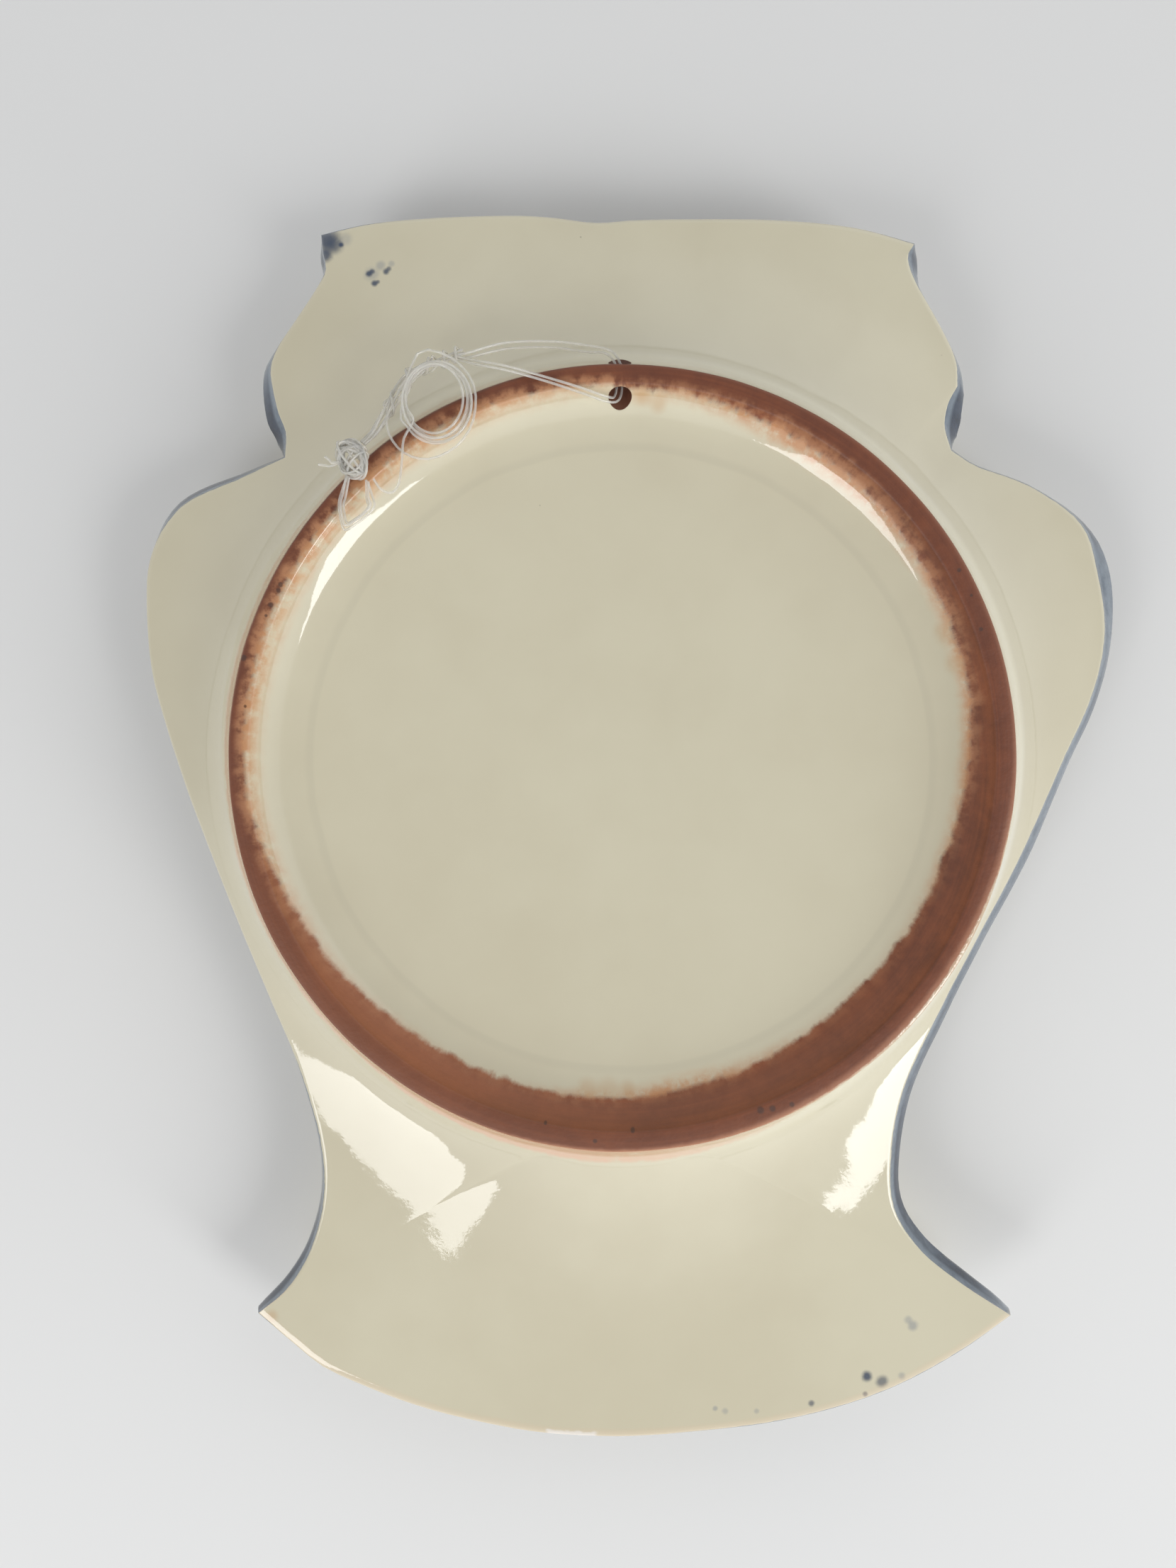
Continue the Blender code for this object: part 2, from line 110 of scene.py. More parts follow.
class Wire:
    """A shader socket that Python's operators work on."""

    def __init__(self, tree, socket=None):
        self.tree = tree
        self.socket = socket

    def node(self, kind, settings=None, inputs=None, output=0):
        """Adds a node: its settings first, then the values or wires of its sockets."""
        made = self.tree.nodes.new(kind)
        for name, value in (settings or {}).items():
            if name == "stops":
                while len(made.color_ramp.elements) < len(value):
                    made.color_ramp.elements.new(0.5)
                for element, (position, colour) in zip(made.color_ramp.elements, value):
                    element.position = position
                    element.color = (*colour, 1.0)
            else:
                setattr(made, name, value)
        for name, value in (inputs or {}).items():
            if isinstance(value, Wire):
                self.tree.links.new(value.socket, made.inputs[name])
            else:
                made.inputs[name].default_value = value
        return Wire(self.tree, made.outputs[output])

    def maths(self, operation, *values):
        return self.node("ShaderNodeMath", {"operation": operation}, dict(enumerate(values)))

    def __add__(self, other):
        return self.maths("ADD", self, other)

    __radd__ = __add__

    def __sub__(self, other):
        return self.maths("SUBTRACT", self, other)

    def __rsub__(self, other):
        return self.maths("SUBTRACT", other, self)

    def __mul__(self, other):
        return self.maths("MULTIPLY", self, other)

    __rmul__ = __mul__

    def __truediv__(self, other):
        return self.maths("DIVIDE", self, other)

    def __pow__(self, other):
        return self.maths("POWER", self, other)

    def high(self, other):
        return self.maths("MAXIMUM", self, other)

    def low(self, other):
        return self.maths("MINIMUM", self, other)

    def rise(self, start, end):
        """0 at start, 1 at end, smooth between. It falls where start is the larger."""
        return self.node(
            "ShaderNodeMapRange",
            {"interpolation_type": "SMOOTHSTEP"},
            {"Value": self, "From Min": start, "From Max": end},
        )

    def blend(self, without, within):
        """One colour where this mask is 0, the other where it is 1."""
        full = [c if isinstance(c, Wire) else (*c, 1.0) for c in (without, within)]
        return self.node(
            "ShaderNodeMix", {"data_type": "RGBA"}, {0: self, 6: full[0], 7: full[1]}, 2
        )

    def grain(self, scale, detail=2.0, roughness=0.5, seed=0.0):
        """Noise around 0, mostly within a half, on these coordinates."""
        moved = self.node(
            "ShaderNodeVectorMath", {"operation": "ADD"}, {0: self, 1: (seed, -seed, 0.7 * seed)}
        )
        cloud = self.node(
            "ShaderNodeTexNoise",
            None,
            {"Vector": moved, "Scale": scale, "Detail": detail, "Roughness": roughness},
        )
        return cloud - 0.5


def new_material(name):
    """A material, its Principled node and a wire to build its shader from."""
    made = bpy.data.materials.new(name)
    made.use_nodes = True
    return made, made.node_tree.nodes["Principled BSDF"], Wire(made.node_tree)


clear_nylon, nylon_shader, wire = new_material("clear_nylon")
nylon_shader.inputs["IOR"].default_value = 1.2
nylon_shader.inputs["Transmission Weight"].default_value = 0.66
nylon_shader.inputs["Coat Weight"].default_value = 0.8
nylon_shader.inputs["Coat Roughness"].default_value = 0.08
nylon_place = wire.node("ShaderNodeTexCoord", output="Object")
nylon_cloud = nylon_place.grain(900.0, 3.0)
wire.tree.links.new(
    nylon_cloud.rise(-0.3, 0.3).blend((0.93, 0.91, 0.84), (0.99, 0.98, 0.95)).socket,
    nylon_shader.inputs["Base Color"],
)
wire.tree.links.new((0.2 + nylon_cloud * 0.2).socket, nylon_shader.inputs["Roughness"])


def by_ring(along, outward, back):
    """A place measured along the foot ring from twelve o'clock, outward and back."""
    bearing = along / FOOT_CREST_RADIUS
    radius = FOOT_CREST_RADIUS + outward
    return Vector((-radius * math.sin(bearing), back, radius * math.cos(bearing) - FOOT_CREST_RADIUS))


def smooth_curve(marks, steps):
    """Points on a smooth curve through the marks, with this many steps between marks."""
    marks = [Vector(mark) for mark in marks]
    marks = [marks[0] * 2 - marks[1], *marks, marks[-1] * 2 - marks[-2]]
    points = []
    for first in range(len(marks) - 3):
        a, b, c, d = marks[first : first + 4]
        for step in range(steps):
            t = step / steps
            points.append(
                0.5 * (2 * b + (c - a) * t + (2 * a - 5 * b + 4 * c - d) * t**2
                       + (3 * b - a - 3 * c + d) * t**3)
            )
    return [*points, marks[-2]]


def nylon(name, runs, nodes=()):
    """One or more runs of line as a round tube each, standing for these CAD nodes."""
    curve = bpy.data.curves.new(name, "CURVE")
    curve.dimensions = "3D"
    curve.bevel_depth = LINE_DIAMETER / 2
    curve.bevel_resolution = 3
    curve.use_fill_caps = True
    for run in runs:
        spline = curve.splines.new("POLY")
        spline.points.add(len(run) - 1)
        for knot, point in zip(spline.points, run):
            knot.co = (*point, 1.0)
        spline.use_smooth = True
    curve.materials.append(clear_nylon)
    piece = bpy.data.objects.new(name, curve)
    bpy.context.scene.collection.objects.link(piece)
    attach(piece, "root")
    if nodes:
        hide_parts(*nodes)
    return piece


# The two strands through the tunnel.
knot_ends = [(-0.0296, 0.0104, -0.0008), (-0.0294, 0.0100, -0.0020)]
outer_marks = [knot_ends[0], *OUTER_STRAND, knot_ends[1]]
outer_path = smooth_curve([by_ring(*mark) for mark in outer_marks], 6)
outer_strand = nylon("outer_strand", [outer_path], ["hanging_line_outer_strand"])
inner_marks = [knot_ends[1], *INNER_STRAND, knot_ends[0]]
inner_path = smooth_curve([by_ring(*mark) for mark in inner_marks], 6)
inner_strand = nylon("inner_strand", [inner_path], ["hanging_line_inner_strand"])

# The first knot: the line wound round the strands, in loose turns.
knot_middle = by_ring(*FIRST_KNOT_CENTRE)
knot_along = (by_ring(-0.0300, 0.0107, 0.0) - by_ring(-0.0314, 0.0107, 0.0)).normalized()
knot_out = Vector((-knot_along.z, 0.0, knot_along.x))
backward = Vector((0.0, 1.0, 0.0))


def wound(middles, turns, radius, across, start=0.0):
    """A line wound round a run of points, in so many turns, looser towards the middle."""
    run = []
    count = round(turns * WINDING_STEPS)
    for number in range(count + 1):
        share = number / count
        place_in_run = share * (len(middles) - 1)
        first = min(int(place_in_run), len(middles) - 2)
        middle = middles[first].lerp(middles[first + 1], place_in_run - first)
        angle = start + share * turns * 2 * math.pi
        swell = radius * (0.85 + 0.15 * math.sin(math.pi * share) + 0.07 * math.sin(angle * 0.37))
        run.append(middle + across * swell * math.cos(angle) + backward * swell * math.sin(angle))
    return run


knot_run = [knot_middle + knot_along * FIRST_KNOT_REACH * way for way in (-1, 0, 1)]
through = []
for side, lift in ((0.5, 0.1), (-0.2, 0.5), (-0.5, -0.3), (0.2, -0.5)):
    through.append([
        knot_middle + knot_along * reach + (knot_out * side + backward * lift) * 0.0009
        for reach in (-0.0033, -0.0016, 0.0, 0.0016, 0.0033)
    ])
knot_loops = wound(knot_run, 2.4, 0.00150, knot_out, 2.0)
first_knot = nylon("first_knot", [knot_loops, *through], ["hanging_line_first_knot"])

# The bundle: six strands side by side, pulled together at the knots, and the line
# wound round their first half.
BUNDLE_STRANDS = 6
bundle_line = smooth_curve([by_ring(*mark) for mark in BUNDLE], 6)
bundle_ends = [by_ring(-0.0333, 0.0112, -0.0014), by_ring(-0.0515, 0.0042, 0.0012)]
bundle_line = [bundle_ends[0], *bundle_line, bundle_ends[1]]
bundle_across = Vector((bundle_line[0].z - bundle_line[-1].z, 0.0,
                        bundle_line[-1].x - bundle_line[0].x)).normalized()
bundle_runs = []
for strand in range(BUNDLE_STRANDS):
    run = []
    for number, point in enumerate(bundle_line):
        share = number / (len(bundle_line) - 1)
        angle = strand * 2 * math.pi / BUNDLE_STRANDS + 1.6 * share
        spread = 0.00045 + 0.00095 * math.sin(math.pi * share) * (0.7 + 0.3 * math.sin(strand * 2.1))
        run.append(point + bundle_across * math.cos(angle) * spread
                   + backward * math.sin(angle) * spread * 0.8)
    bundle_runs.append(run)
bundle_runs.append(wound(bundle_line[:14], 2.6, 0.00135, bundle_across, 0.8))
bundle_runs.append(wound(bundle_line[:13], 1.7, 0.00165, bundle_across, 2.6))
bundle = nylon("bundle", bundle_runs, ["hanging_line_bundle"])

# The second knot: turn upon turn, pulled into a ball that leans to the left.
TANGLE_REACH = Vector((0.0032, 0.0019, 0.0044))
TANGLE_TURNS = 17
TANGLE_STEPS = 22
TANGLE_LEAN = math.radians(15)
TANGLE_SEED = 24
tangle_middle = by_ring(*SECOND_KNOT_CENTRE)
noise.seed_set(TANGLE_SEED)
tangle = []
for number in range(TANGLE_TURNS * TANGLE_STEPS + 1):
    turn = number / TANGLE_STEPS
    first_way = noise.noise_vector((0.31 * turn, 4.0, 1.0)).normalized()
    other_way = noise.noise_vector((7.0, 0.27 * turn, 2.0)).cross(first_way).normalized()
    angle = 2 * math.pi * turn
    shrink = 0.82 + 0.38 * noise.noise((0.9 * turn, 1.0, 9.0))
    ball = (first_way * math.cos(angle) + other_way * math.sin(angle)) * shrink
    right_way = ball.x * TANGLE_REACH.x
    up_way = ball.z * TANGLE_REACH.z
    tangle.append(tangle_middle + Vector((
        -(right_way * math.cos(TANGLE_LEAN) - up_way * math.sin(TANGLE_LEAN)),
        ball.y * TANGLE_REACH.y,
        right_way * math.sin(TANGLE_LEAN) + up_way * math.cos(TANGLE_LEAN),
    )))
second_knot = nylon("second_knot", [tangle], ["hanging_line_second_knot"])

# The loops that stick out of the second knot, and the two cut ends.
loop_runs = []
for share, lift, sway in ((1.0, 0.0010, 0.0), (0.84, 0.0016, 0.0003), (0.70, 0.0012, -0.0004)):
    middle = Vector((-0.0612, -0.0034 + sway))
    marks = [by_ring(-0.0577, 0.0012 + sway, 0.0022)]
    for along, outward in END_LOOPS:
        spot = middle + (Vector((along, outward)) - middle) * share
        marks.append(by_ring(spot.x, spot.y, lift))
    marks.append(by_ring(-0.0556, -0.0022 - sway, 0.0022))
    loop_runs.append(smooth_curve(marks, 5))
end_loops = nylon("end_loops", loop_runs, ["hanging_line_end_loops"])
tail_runs = []
for side in (-0.00030, 0.00030):
    marks = [by_ring(-0.0560, 0.0035, 0.0026)]
    for number, (along, outward, back) in enumerate(TAIL):
        marks.append(by_ring(along + side * (1 + number), outward - abs(side) * number, back + side))
    tail_runs.append(smooth_curve(marks, 5))
tail = nylon("tail", tail_runs, ["hanging_line_tail"])

# The spare line: out of the second knot in one long turn, five turns round the coil
# and a sixth, wider one, back to the first knot.
COIL_TURNS = 5
COIL_STEPS = 16
COIL_START = math.radians(218)
COIL_RADIUS = 0.0072
COIL_GROWTH = 0.00047
COIL_NARROWNESS = 0.86
COIL_SWAY = 0.00085
# The last turn, right and up of the coil's middle and back from it.
WIDE_TURN = [
    (-0.0026, 0.0090, 0.0), (0.0040, 0.0082, 0.0), (0.0083, 0.0030, 0.0), (0.0082, -0.0038, 0.0),
    (0.0050, -0.0088, 0.0), (-0.0004, -0.0112, -0.0003), (-0.0052, -0.0099, -0.0008),
    (-0.0082, -0.0062, -0.0013), (-0.0087, -0.0018, -0.0020), (-0.0070, 0.0034, -0.0026),
    (-0.0036, 0.0070, -0.0031),
]
coil_middle = by_ring(*COIL_CENTRE)
coil_marks = [by_ring(*mark) for mark in LONG_LOOP]
for number in range(COIL_TURNS * COIL_STEPS + 2):
    turn = number / COIL_STEPS
    angle = COIL_START - turn * 2 * math.pi
    fanning = 0.70 + 0.30 * math.cos(angle + math.radians(45))
    radius = COIL_RADIUS + (COIL_GROWTH * turn - 0.00115) * fanning + 0.0001 * math.sin(5 * turn)
    coil_marks.append(coil_middle + Vector((
        -COIL_NARROWNESS * radius * math.cos(angle) - 0.0011 + 0.0003 * math.sin(2.9 * turn),
        COIL_SWAY * math.sin(2.4 * turn + 0.5),
        radius * math.sin(angle),
    )))
for right, up, lift in WIDE_TURN:
    coil_marks.append(coil_middle + Vector((-right, lift, up)))
coil_path = smooth_curve(coil_marks, 3)
spare_line = nylon("spare_line", [coil_path], ["hanging_line_coil", "hanging_line_long_loop"])


# The plate: one slab of red clay, pressed over a form with its foot ring, cut by hand
# to the outline of a vase, dipped in cream tin glaze and painted blue along the edge.
# The crest of the foot ring is wiped bare, so that it doesn't stick in the kiln.
PLATE_WIDTH = 0.200
PLATE_HEIGHT = 0.256
PLATE_DEPTH = 0.026
EDGE_THICKNESS = 0.0055
EDGE_ROUNDING = 0.0007
FLANK_LEDGE = 0.006
FOOT_RADIUS = 0.0766
FOOT_CREST_WIDTH = 0.0029
FOOT_ROUNDING = 0.0006
FOOT_DROP = 0.0045
FOOT_COVE = 0.0022
FLANGE_SPREAD = 0.032
FLANK_SPREAD = 0.75
RECESS_DEPTH = 0.0072
RECESS_COVE = 0.0033
FLOOR_THICKNESS = 0.006
DISH_INSET = 0.0106
DISH_SPREAD = 0.45
EVENING_ROUNDS = 20
SPOKE_POLE = -0.9
POLE_RISE = (-0.23, 0.12)
# How many spokes of this mesh come to one of the CAD's.
FINENESS = 3
# The edge of the back, clockwise as seen. Each mark is a share of the width to the
# right, a share of the height up, how far the painted side stands out past the back
# there, and how blue and dark the side is, from 0, plain glaze, to 1, navy; the navy
# in the neck notches and at the foot corners is partly painted shade.
EDGE = [
    ("top edge", 18, [
        (-0.314, 0.431, 0.0010, 0.9), (-0.264, 0.440, 0.0009, 0.3), (-0.204, 0.444, 0.0008, 0.0),
        (-0.137, 0.446, 0.0008, 0.0), (-0.078, 0.445, 0.0008, 0.0), (-0.027, 0.440, 0.0008, 0.0),
        (0.019, 0.442, 0.0008, 0.0), (0.094, 0.443, 0.0008, 0.0), (0.176, 0.442, 0.0009, 0.0),
        (0.250, 0.436, 0.0010, 0.0), (0.310, 0.424, 0.0016, 0.5),
    ]),
    ("right lip", 9, [
        (0.310, 0.424, 0.0016, 0.7), (0.303, 0.414, 0.0030, 0.8), (0.307, 0.399, 0.0024, 0.6),
        (0.319, 0.380, 0.0012, 0.2), (0.339, 0.351, 0.0014, 0.1), (0.353, 0.327, 0.0018, 0.3),
        (0.354, 0.306, 0.0026, 0.8),
    ]),
    ("right neck", 4, [
        (0.354, 0.306, 0.0026, 0.8), (0.343, 0.290, 0.0042, 1.0), (0.339, 0.272, 0.0040, 1.0),
        (0.345, 0.252, 0.0020, 0.9),
    ]),
    ("right side", 32, [
        (0.345, 0.252, 0.0020, 0.9), (0.373, 0.239, 0.0016, 0.9), (0.432, 0.223, 0.0016, 1.0),
        (0.484, 0.194, 0.0022, 0.9), (0.501, 0.156, 0.0042, 0.5), (0.509, 0.103, 0.0030, 0.5),
        (0.494, 0.050, 0.0026, 0.7), (0.460, -0.005, 0.0026, 0.5), (0.417, -0.077, 0.0030, 0.6),
        (0.371, -0.145, 0.0028, 0.6), (0.329, -0.211, 0.0028, 0.7), (0.297, -0.269, 0.0028, 0.7),
        (0.285, -0.323, 0.0026, 0.9), (0.289, -0.368, 0.0024, 0.9), (0.317, -0.403, 0.0022, 0.7),
        (0.363, -0.432, 0.0018, 0.9), (0.412, -0.457, 0.0010, 0.5),
    ]),
    ("foot", 16, [
        (0.412, -0.457, 0.0010, 0.2), (0.353, -0.489, 0.0008, 0.4), (0.273, -0.521, 0.0007, 0.6),
        (0.176, -0.542, 0.0006, 0.6), (0.081, -0.552, 0.0006, 0.2), (-0.011, -0.556, 0.0006, 0.0),
        (-0.100, -0.551, 0.0006, 0.0), (-0.204, -0.533, 0.0006, 0.0), (-0.301, -0.504, 0.0007, 0.0),
        (-0.342, -0.481, 0.0008, 0.0), (-0.381, -0.455, 0.0010, 0.4),
    ]),
    ("left side", 31, [
        (-0.381, -0.455, 0.0010, 1.0), (-0.351, -0.435, 0.0014, 1.0), (-0.326, -0.403, 0.0014, 0.9),
        (-0.312, -0.360, 0.0012, 0.8), (-0.315, -0.312, 0.0012, 0.5), (-0.335, -0.255, 0.0012, 0.2),
        (-0.366, -0.194, 0.0012, 0.0), (-0.410, -0.109, 0.0012, 0.0), (-0.456, -0.014, 0.0012, 0.0),
        (-0.487, 0.061, 0.0012, 0.0), (-0.496, 0.123, 0.0012, 0.0), (-0.491, 0.169, 0.0014, 0.1),
        (-0.460, 0.208, 0.0022, 0.8), (-0.391, 0.232, 0.0021, 0.9), (-0.349, 0.246, 0.0018, 0.9),
    ]),
    ("left neck", 12, [
        (-0.349, 0.246, 0.0018, 1.0), (-0.349, 0.267, 0.0030, 1.0), (-0.359, 0.287, 0.0034, 0.9),
        (-0.367, 0.318, 0.0024, 0.6), (-0.360, 0.337, 0.0016, 0.3), (-0.340, 0.361, 0.0012, 0.0),
        (-0.316, 0.390, 0.0012, 0.1), (-0.309, 0.403, 0.0014, 0.6), (-0.312, 0.417, 0.0014, 1.0),
        (-0.314, 0.431, 0.0010, 1.0),
    ]),
]


def evenly_spaced(points, count):
    """The start of each of count equal lengths of a run of points."""
    lengths = [(b.xy - a.xy).length for a, b in zip(points, points[1:])]
    total = sum(lengths)
    spaced = []
    for number in range(count):
        way = total * number / count
        stretch = 0
        while way > lengths[stretch] and stretch < len(lengths) - 1:
            way -= lengths[stretch]
            stretch += 1
        spaced.append(points[stretch].lerp(points[stretch + 1], way / lengths[stretch]))
    return spaced


def evened(values):
    """Values around the plate, averaged over and over with their neighbours."""
    for _ in range(EVENING_ROUNDS * FINENESS**2):
        earlier = [values[-1], *values[:-1]]
        later = [*values[1:], values[0]]
        values = [(a + 2 * b + c) / 4 for a, b, c in zip(earlier, values, later)]
    return values


def fallen(way, spread, power=1.0):
    """The share of its whole fall that a slope has behind it, this far out."""
    return 1 - math.exp(-((way / spread) ** power))


edge = []
for _, count, marks in EDGE:
    sized = [(x * PLATE_WIDTH, y * PLATE_HEIGHT, flare, blue) for x, y, flare, blue in marks]
    edge += evenly_spaced(smooth_curve(sized, 12), count * FINENESS)
for point in edge:
    short = FOOT_RADIUS + FLANK_LEDGE - point.xy.length
    if short > 0:
        push = point.xy.normalized() * short
        point.x += push.x
        point.y += push.y
spoke_count = len(edge)

# The way square to the edge, and the bearing at which each spoke leaves the ring.
edge_ways = []
bearing_offsets = []
for number, point in enumerate(edge):
    along = edge[(number + FINENESS) % spoke_count].xy - edge[number - FINENESS].xy
    edge_ways.append(Vector((-along.y, along.x)).normalized())
    share = (point.y / PLATE_HEIGHT - POLE_RISE[0]) / (POLE_RISE[1] - POLE_RISE[0])
    share = min(max(share, 0.0), 1.0)
    pole = Vector((0.0, SPOKE_POLE * FOOT_RADIUS * (1 - share * share * (3 - 2 * share))))
    way = (point.xy - pole).normalized()
    middle = pole.dot(way)
    foot = pole + way * (math.sqrt(middle**2 + FOOT_RADIUS**2 - pole.length_squared) - middle)
    offset = math.atan2(foot.x, foot.y) - 2 * math.pi / spoke_count * number
    while bearing_offsets and offset < bearing_offsets[-1] - math.pi:
        offset += 2 * math.pi
    bearing_offsets.append(offset)
bearings = [
    2 * math.pi / spoke_count * number + offset
    for number, offset in enumerate(evened(bearing_offsets))
]

# Rings of points, as (right, up, back), from the recess's middle over the foot and the
# edge to the painted side. Each has how near the edge its points are, from 0, ten
# millimetres off or more, to 1, and how far round to the painted face, from 0 on the
# back to 1 on that face.
NEAR_EDGE = 0.010
SIDE_END = 0.5
FRONT_CORNER = 0.6
rings = []
nearness = []
painted = []


def add_ring(points, near=0.0, on_front=0.0):
    rings.append(points)
    nearness.append(near if isinstance(near, list) else [near] * spoke_count)
    painted.append(on_front)


def around(radius, back):
    return [Vector((radius * math.sin(b), radius * math.cos(b), back)) for b in bearings]


crest_outside = FOOT_RADIUS - FOOT_ROUNDING
crest_inside = crest_outside - FOOT_CREST_WIDTH
recess_radius = crest_inside - FOOT_ROUNDING
for inset in (19, 15, 11.5, 9, 7.2, 5.6, 4.5, 3.6, 3, 2.5, 2.1, 1.75, 1.45, 1.2, 0.98, 0.78,
              0.6, 0.43, 0.27, 0.13):
    fall = FOOT_ROUNDING + (RECESS_DEPTH - FOOT_ROUNDING) * fallen(inset, 1.0)
    add_ring(around(recess_radius - inset * RECESS_COVE, -fall))
for turn in (0, 30, 60, 90):
    swing = math.radians(turn)
    add_ring(around(crest_inside - FOOT_ROUNDING * math.cos(swing),
                    FOOT_ROUNDING * (math.sin(swing) - 1)))
add_ring(around((crest_inside + crest_outside) / 2, 0.0))
for turn in (90, 60, 30, 0):
    swing = math.radians(turn)
    add_ring(around(crest_outside + FOOT_ROUNDING * math.cos(swing),
                    FOOT_ROUNDING * (math.sin(swing) - 1)))

feet = rings[-1]
ledges = [(e.xy - f.xy).length for e, f in zip(edge, feet)]
spreads = evened([1 / (1 / (FLANK_SPREAD * w) + 1 / FLANGE_SPREAD) for w in ledges])
deepest = PLATE_DEPTH - EDGE_THICKNESS - FOOT_ROUNDING - FOOT_DROP
flange_drop = deepest / max(fallen(w, spread) for w, spread in zip(ledges, spreads))


def flange_back(flat, way, spread):
    cove = FOOT_DROP * fallen(max(flat.length - FOOT_RADIUS, 0.0), FOOT_COVE)
    return -FOOT_ROUNDING - cove - flange_drop * fallen(way, spread)


def flange_ring(spoke_ways, lower=0.0):
    """A ring on the flange, this far out along each spoke, lowered by its rounding."""
    points = []
    for e, f, ledge, spread, way in zip(edge, feet, ledges, spreads, spoke_ways):
        flat = f.xy.lerp(e.xy, way / ledge)
        points.append(Vector((*flat, flange_back(flat, way, spread) - lower)))
    near = [max(1 - (ledge - way) / NEAR_EDGE, 0.0) for ledge, way in zip(ledges, spoke_ways)]
    add_ring(points, near)


coves = [min(3 * FOOT_COVE, 0.55 * w) for w in ledges]
for share in (0.06, 0.14, 0.23, 0.34, 0.47, 0.62, 0.8, 1.0):
    flange_ring([share * cove for cove in coves])
for share in (0.1, 0.2, 0.3, 0.41, 0.52, 0.62, 0.71, 0.79, 0.86, 0.92, 0.96, 0.985):
    flange_ring([c + share * (w - EDGE_ROUNDING - c) for c, w in zip(coves, ledges)])
for turn in (0, 30, 60):
    swing = math.radians(turn)
    flange_ring([w - EDGE_ROUNDING * (1 - math.sin(swing)) for w in ledges],
                EDGE_ROUNDING * (1 - math.cos(swing)))
edge_backs = [flange_back(e.xy, w, spread) for e, w, spread in zip(edge, ledges, spreads)]

floor_back = -RECESS_DEPTH - FLOOR_THICKNESS
floor = around(FOOT_RADIUS - DISH_INSET, floor_back)
rim = [e.xy + way * (e.z - EDGE_ROUNDING) for e, way in zip(edge, edge_ways)]
reaches = [(r - f.xy).length for r, f in zip(rim, floor)]
dish_spreads = evened([DISH_SPREAD * reach for reach in reaches])
drops = evened([floor_back + EDGE_THICKNESS - back for back in edge_backs])


def dish_back(way, spread, drop):
    return floor_back - drop * fallen(way, spread, 1.5) / fallen(1.0, DISH_SPREAD, 1.5)


fronts = [dish_back(*at) for at in zip(reaches, dish_spreads, drops)]
for share in (0.0, 0.2, 0.4, 0.6, 0.8, 1.0):
    lean = share * (1.2 - 0.2 * share)
    points = []
    for e, way, back, front in zip(edge, edge_ways, edge_backs, fronts):
        high = back - EDGE_ROUNDING
        low = front + EDGE_ROUNDING
        points.append(Vector((*(e.xy + way * lean * e.z), high + share * (low - high))))
    add_ring(points, 1.0, SIDE_END * share)
for turn in (30, 60):
    swing = math.radians(turn)
    points = []
    for e, way, front in zip(edge, edge_ways, fronts):
        reach = e.z - EDGE_ROUNDING * (1 - math.cos(swing))
        points.append(Vector((*(e.xy + way * reach), front + EDGE_ROUNDING * (1 - math.sin(swing)))))
    add_ring(points, 1.0, FRONT_CORNER)
for share in (1.0, 0.97, 0.93, 0.88, 0.82, 0.76, 0.7, 0.63, 0.56, 0.49, 0.43, 0.37, 0.32, 0.27,
              0.22, 0.17, 0.12, 0.07, 0.03, 0.0):
    points = []
    for f, r, reach, spread, drop in zip(floor, rim, reaches, dish_spreads, drops):
        points.append(Vector((*f.xy.lerp(r, share), dish_back(share * reach, spread, drop))))
    add_ring(points, [max(1 - (1 - share) * reach / NEAR_EDGE, 0.0) for reach in reaches], 1.0)
for share in (0.9, 0.75, 0.55, 0.3):
    add_ring(around((FOOT_RADIUS - DISH_INSET) * share, floor_back), 0.0, 1.0)

# The mesh, turned into world axes. The slab is a hand's work, nowhere quite even.
corners = [Vector((-p.x, p.z, p.y - FOOT_CREST_RADIUS)) for ring in rings for p in ring]
faces = []
for ring in range(len(rings) - 1):
    for number in range(spoke_count):
        other = (number + 1) % spoke_count
        here, there = ring * spoke_count, (ring + 1) * spoke_count
        faces.append((here + number, here + other, there + other, there + number))
for ring, back, flip in ((0, rings[0][0].z, -1), (len(rings) - 1, floor_back, 1)):
    corners.append(Vector((0.0, back, -FOOT_CREST_RADIUS)))
    for number in range(spoke_count):
        start = ring * spoke_count
        pair = (start + number, start + (number + 1) % spoke_count)
        faces.append((len(corners) - 1, *pair[::flip]))
form = bpy.data.meshes.new("glazed_plate")
form.from_pydata(corners, [], faces)
near = form.attributes.new("near_edge", "FLOAT", "POINT")
near.data.foreach_set("value", [value for ring in nearness for value in ring] + [0.0, 0.0])
front = form.attributes.new("on_front", "FLOAT", "POINT")
front.data.foreach_set("value", [side for side in painted for _ in edge] + [0.0, 1.0])
# How blue and dark the side is, the dark partly painted shade.
blueness_and_shade = form.attributes.new("edge_blue", "FLOAT", "POINT")
blueness_and_shade.data.foreach_set("value", [e.w for _ in rings for e in edge] + [0.0, 0.0])
plate = bpy.data.objects.new("glazed_plate", form)
bpy.context.scene.collection.objects.link(plate)
for shown in bpy.context.selected_objects:
    shown.select_set(False)
bpy.context.view_layer.objects.active = plate
plate.select_set(True)
bpy.ops.object.mode_set(mode="EDIT")
bpy.ops.mesh.select_all(action="SELECT")
bpy.ops.mesh.normals_make_consistent(inside=False)
bpy.ops.object.mode_set(mode="OBJECT")
UNEVENNESS = 0.00012
BROAD_SWELLS = 55
SMALL_SWELLS = 160
moves = []
for vertex in form.vertices:
    swell = noise.noise(vertex.co * BROAD_SWELLS) + 0.4 * noise.noise(vertex.co * SMALL_SWELLS)
    moves.append(vertex.normal * swell * UNEVENNESS)
for vertex, move in zip(form.vertices, moves):
    vertex.co += move

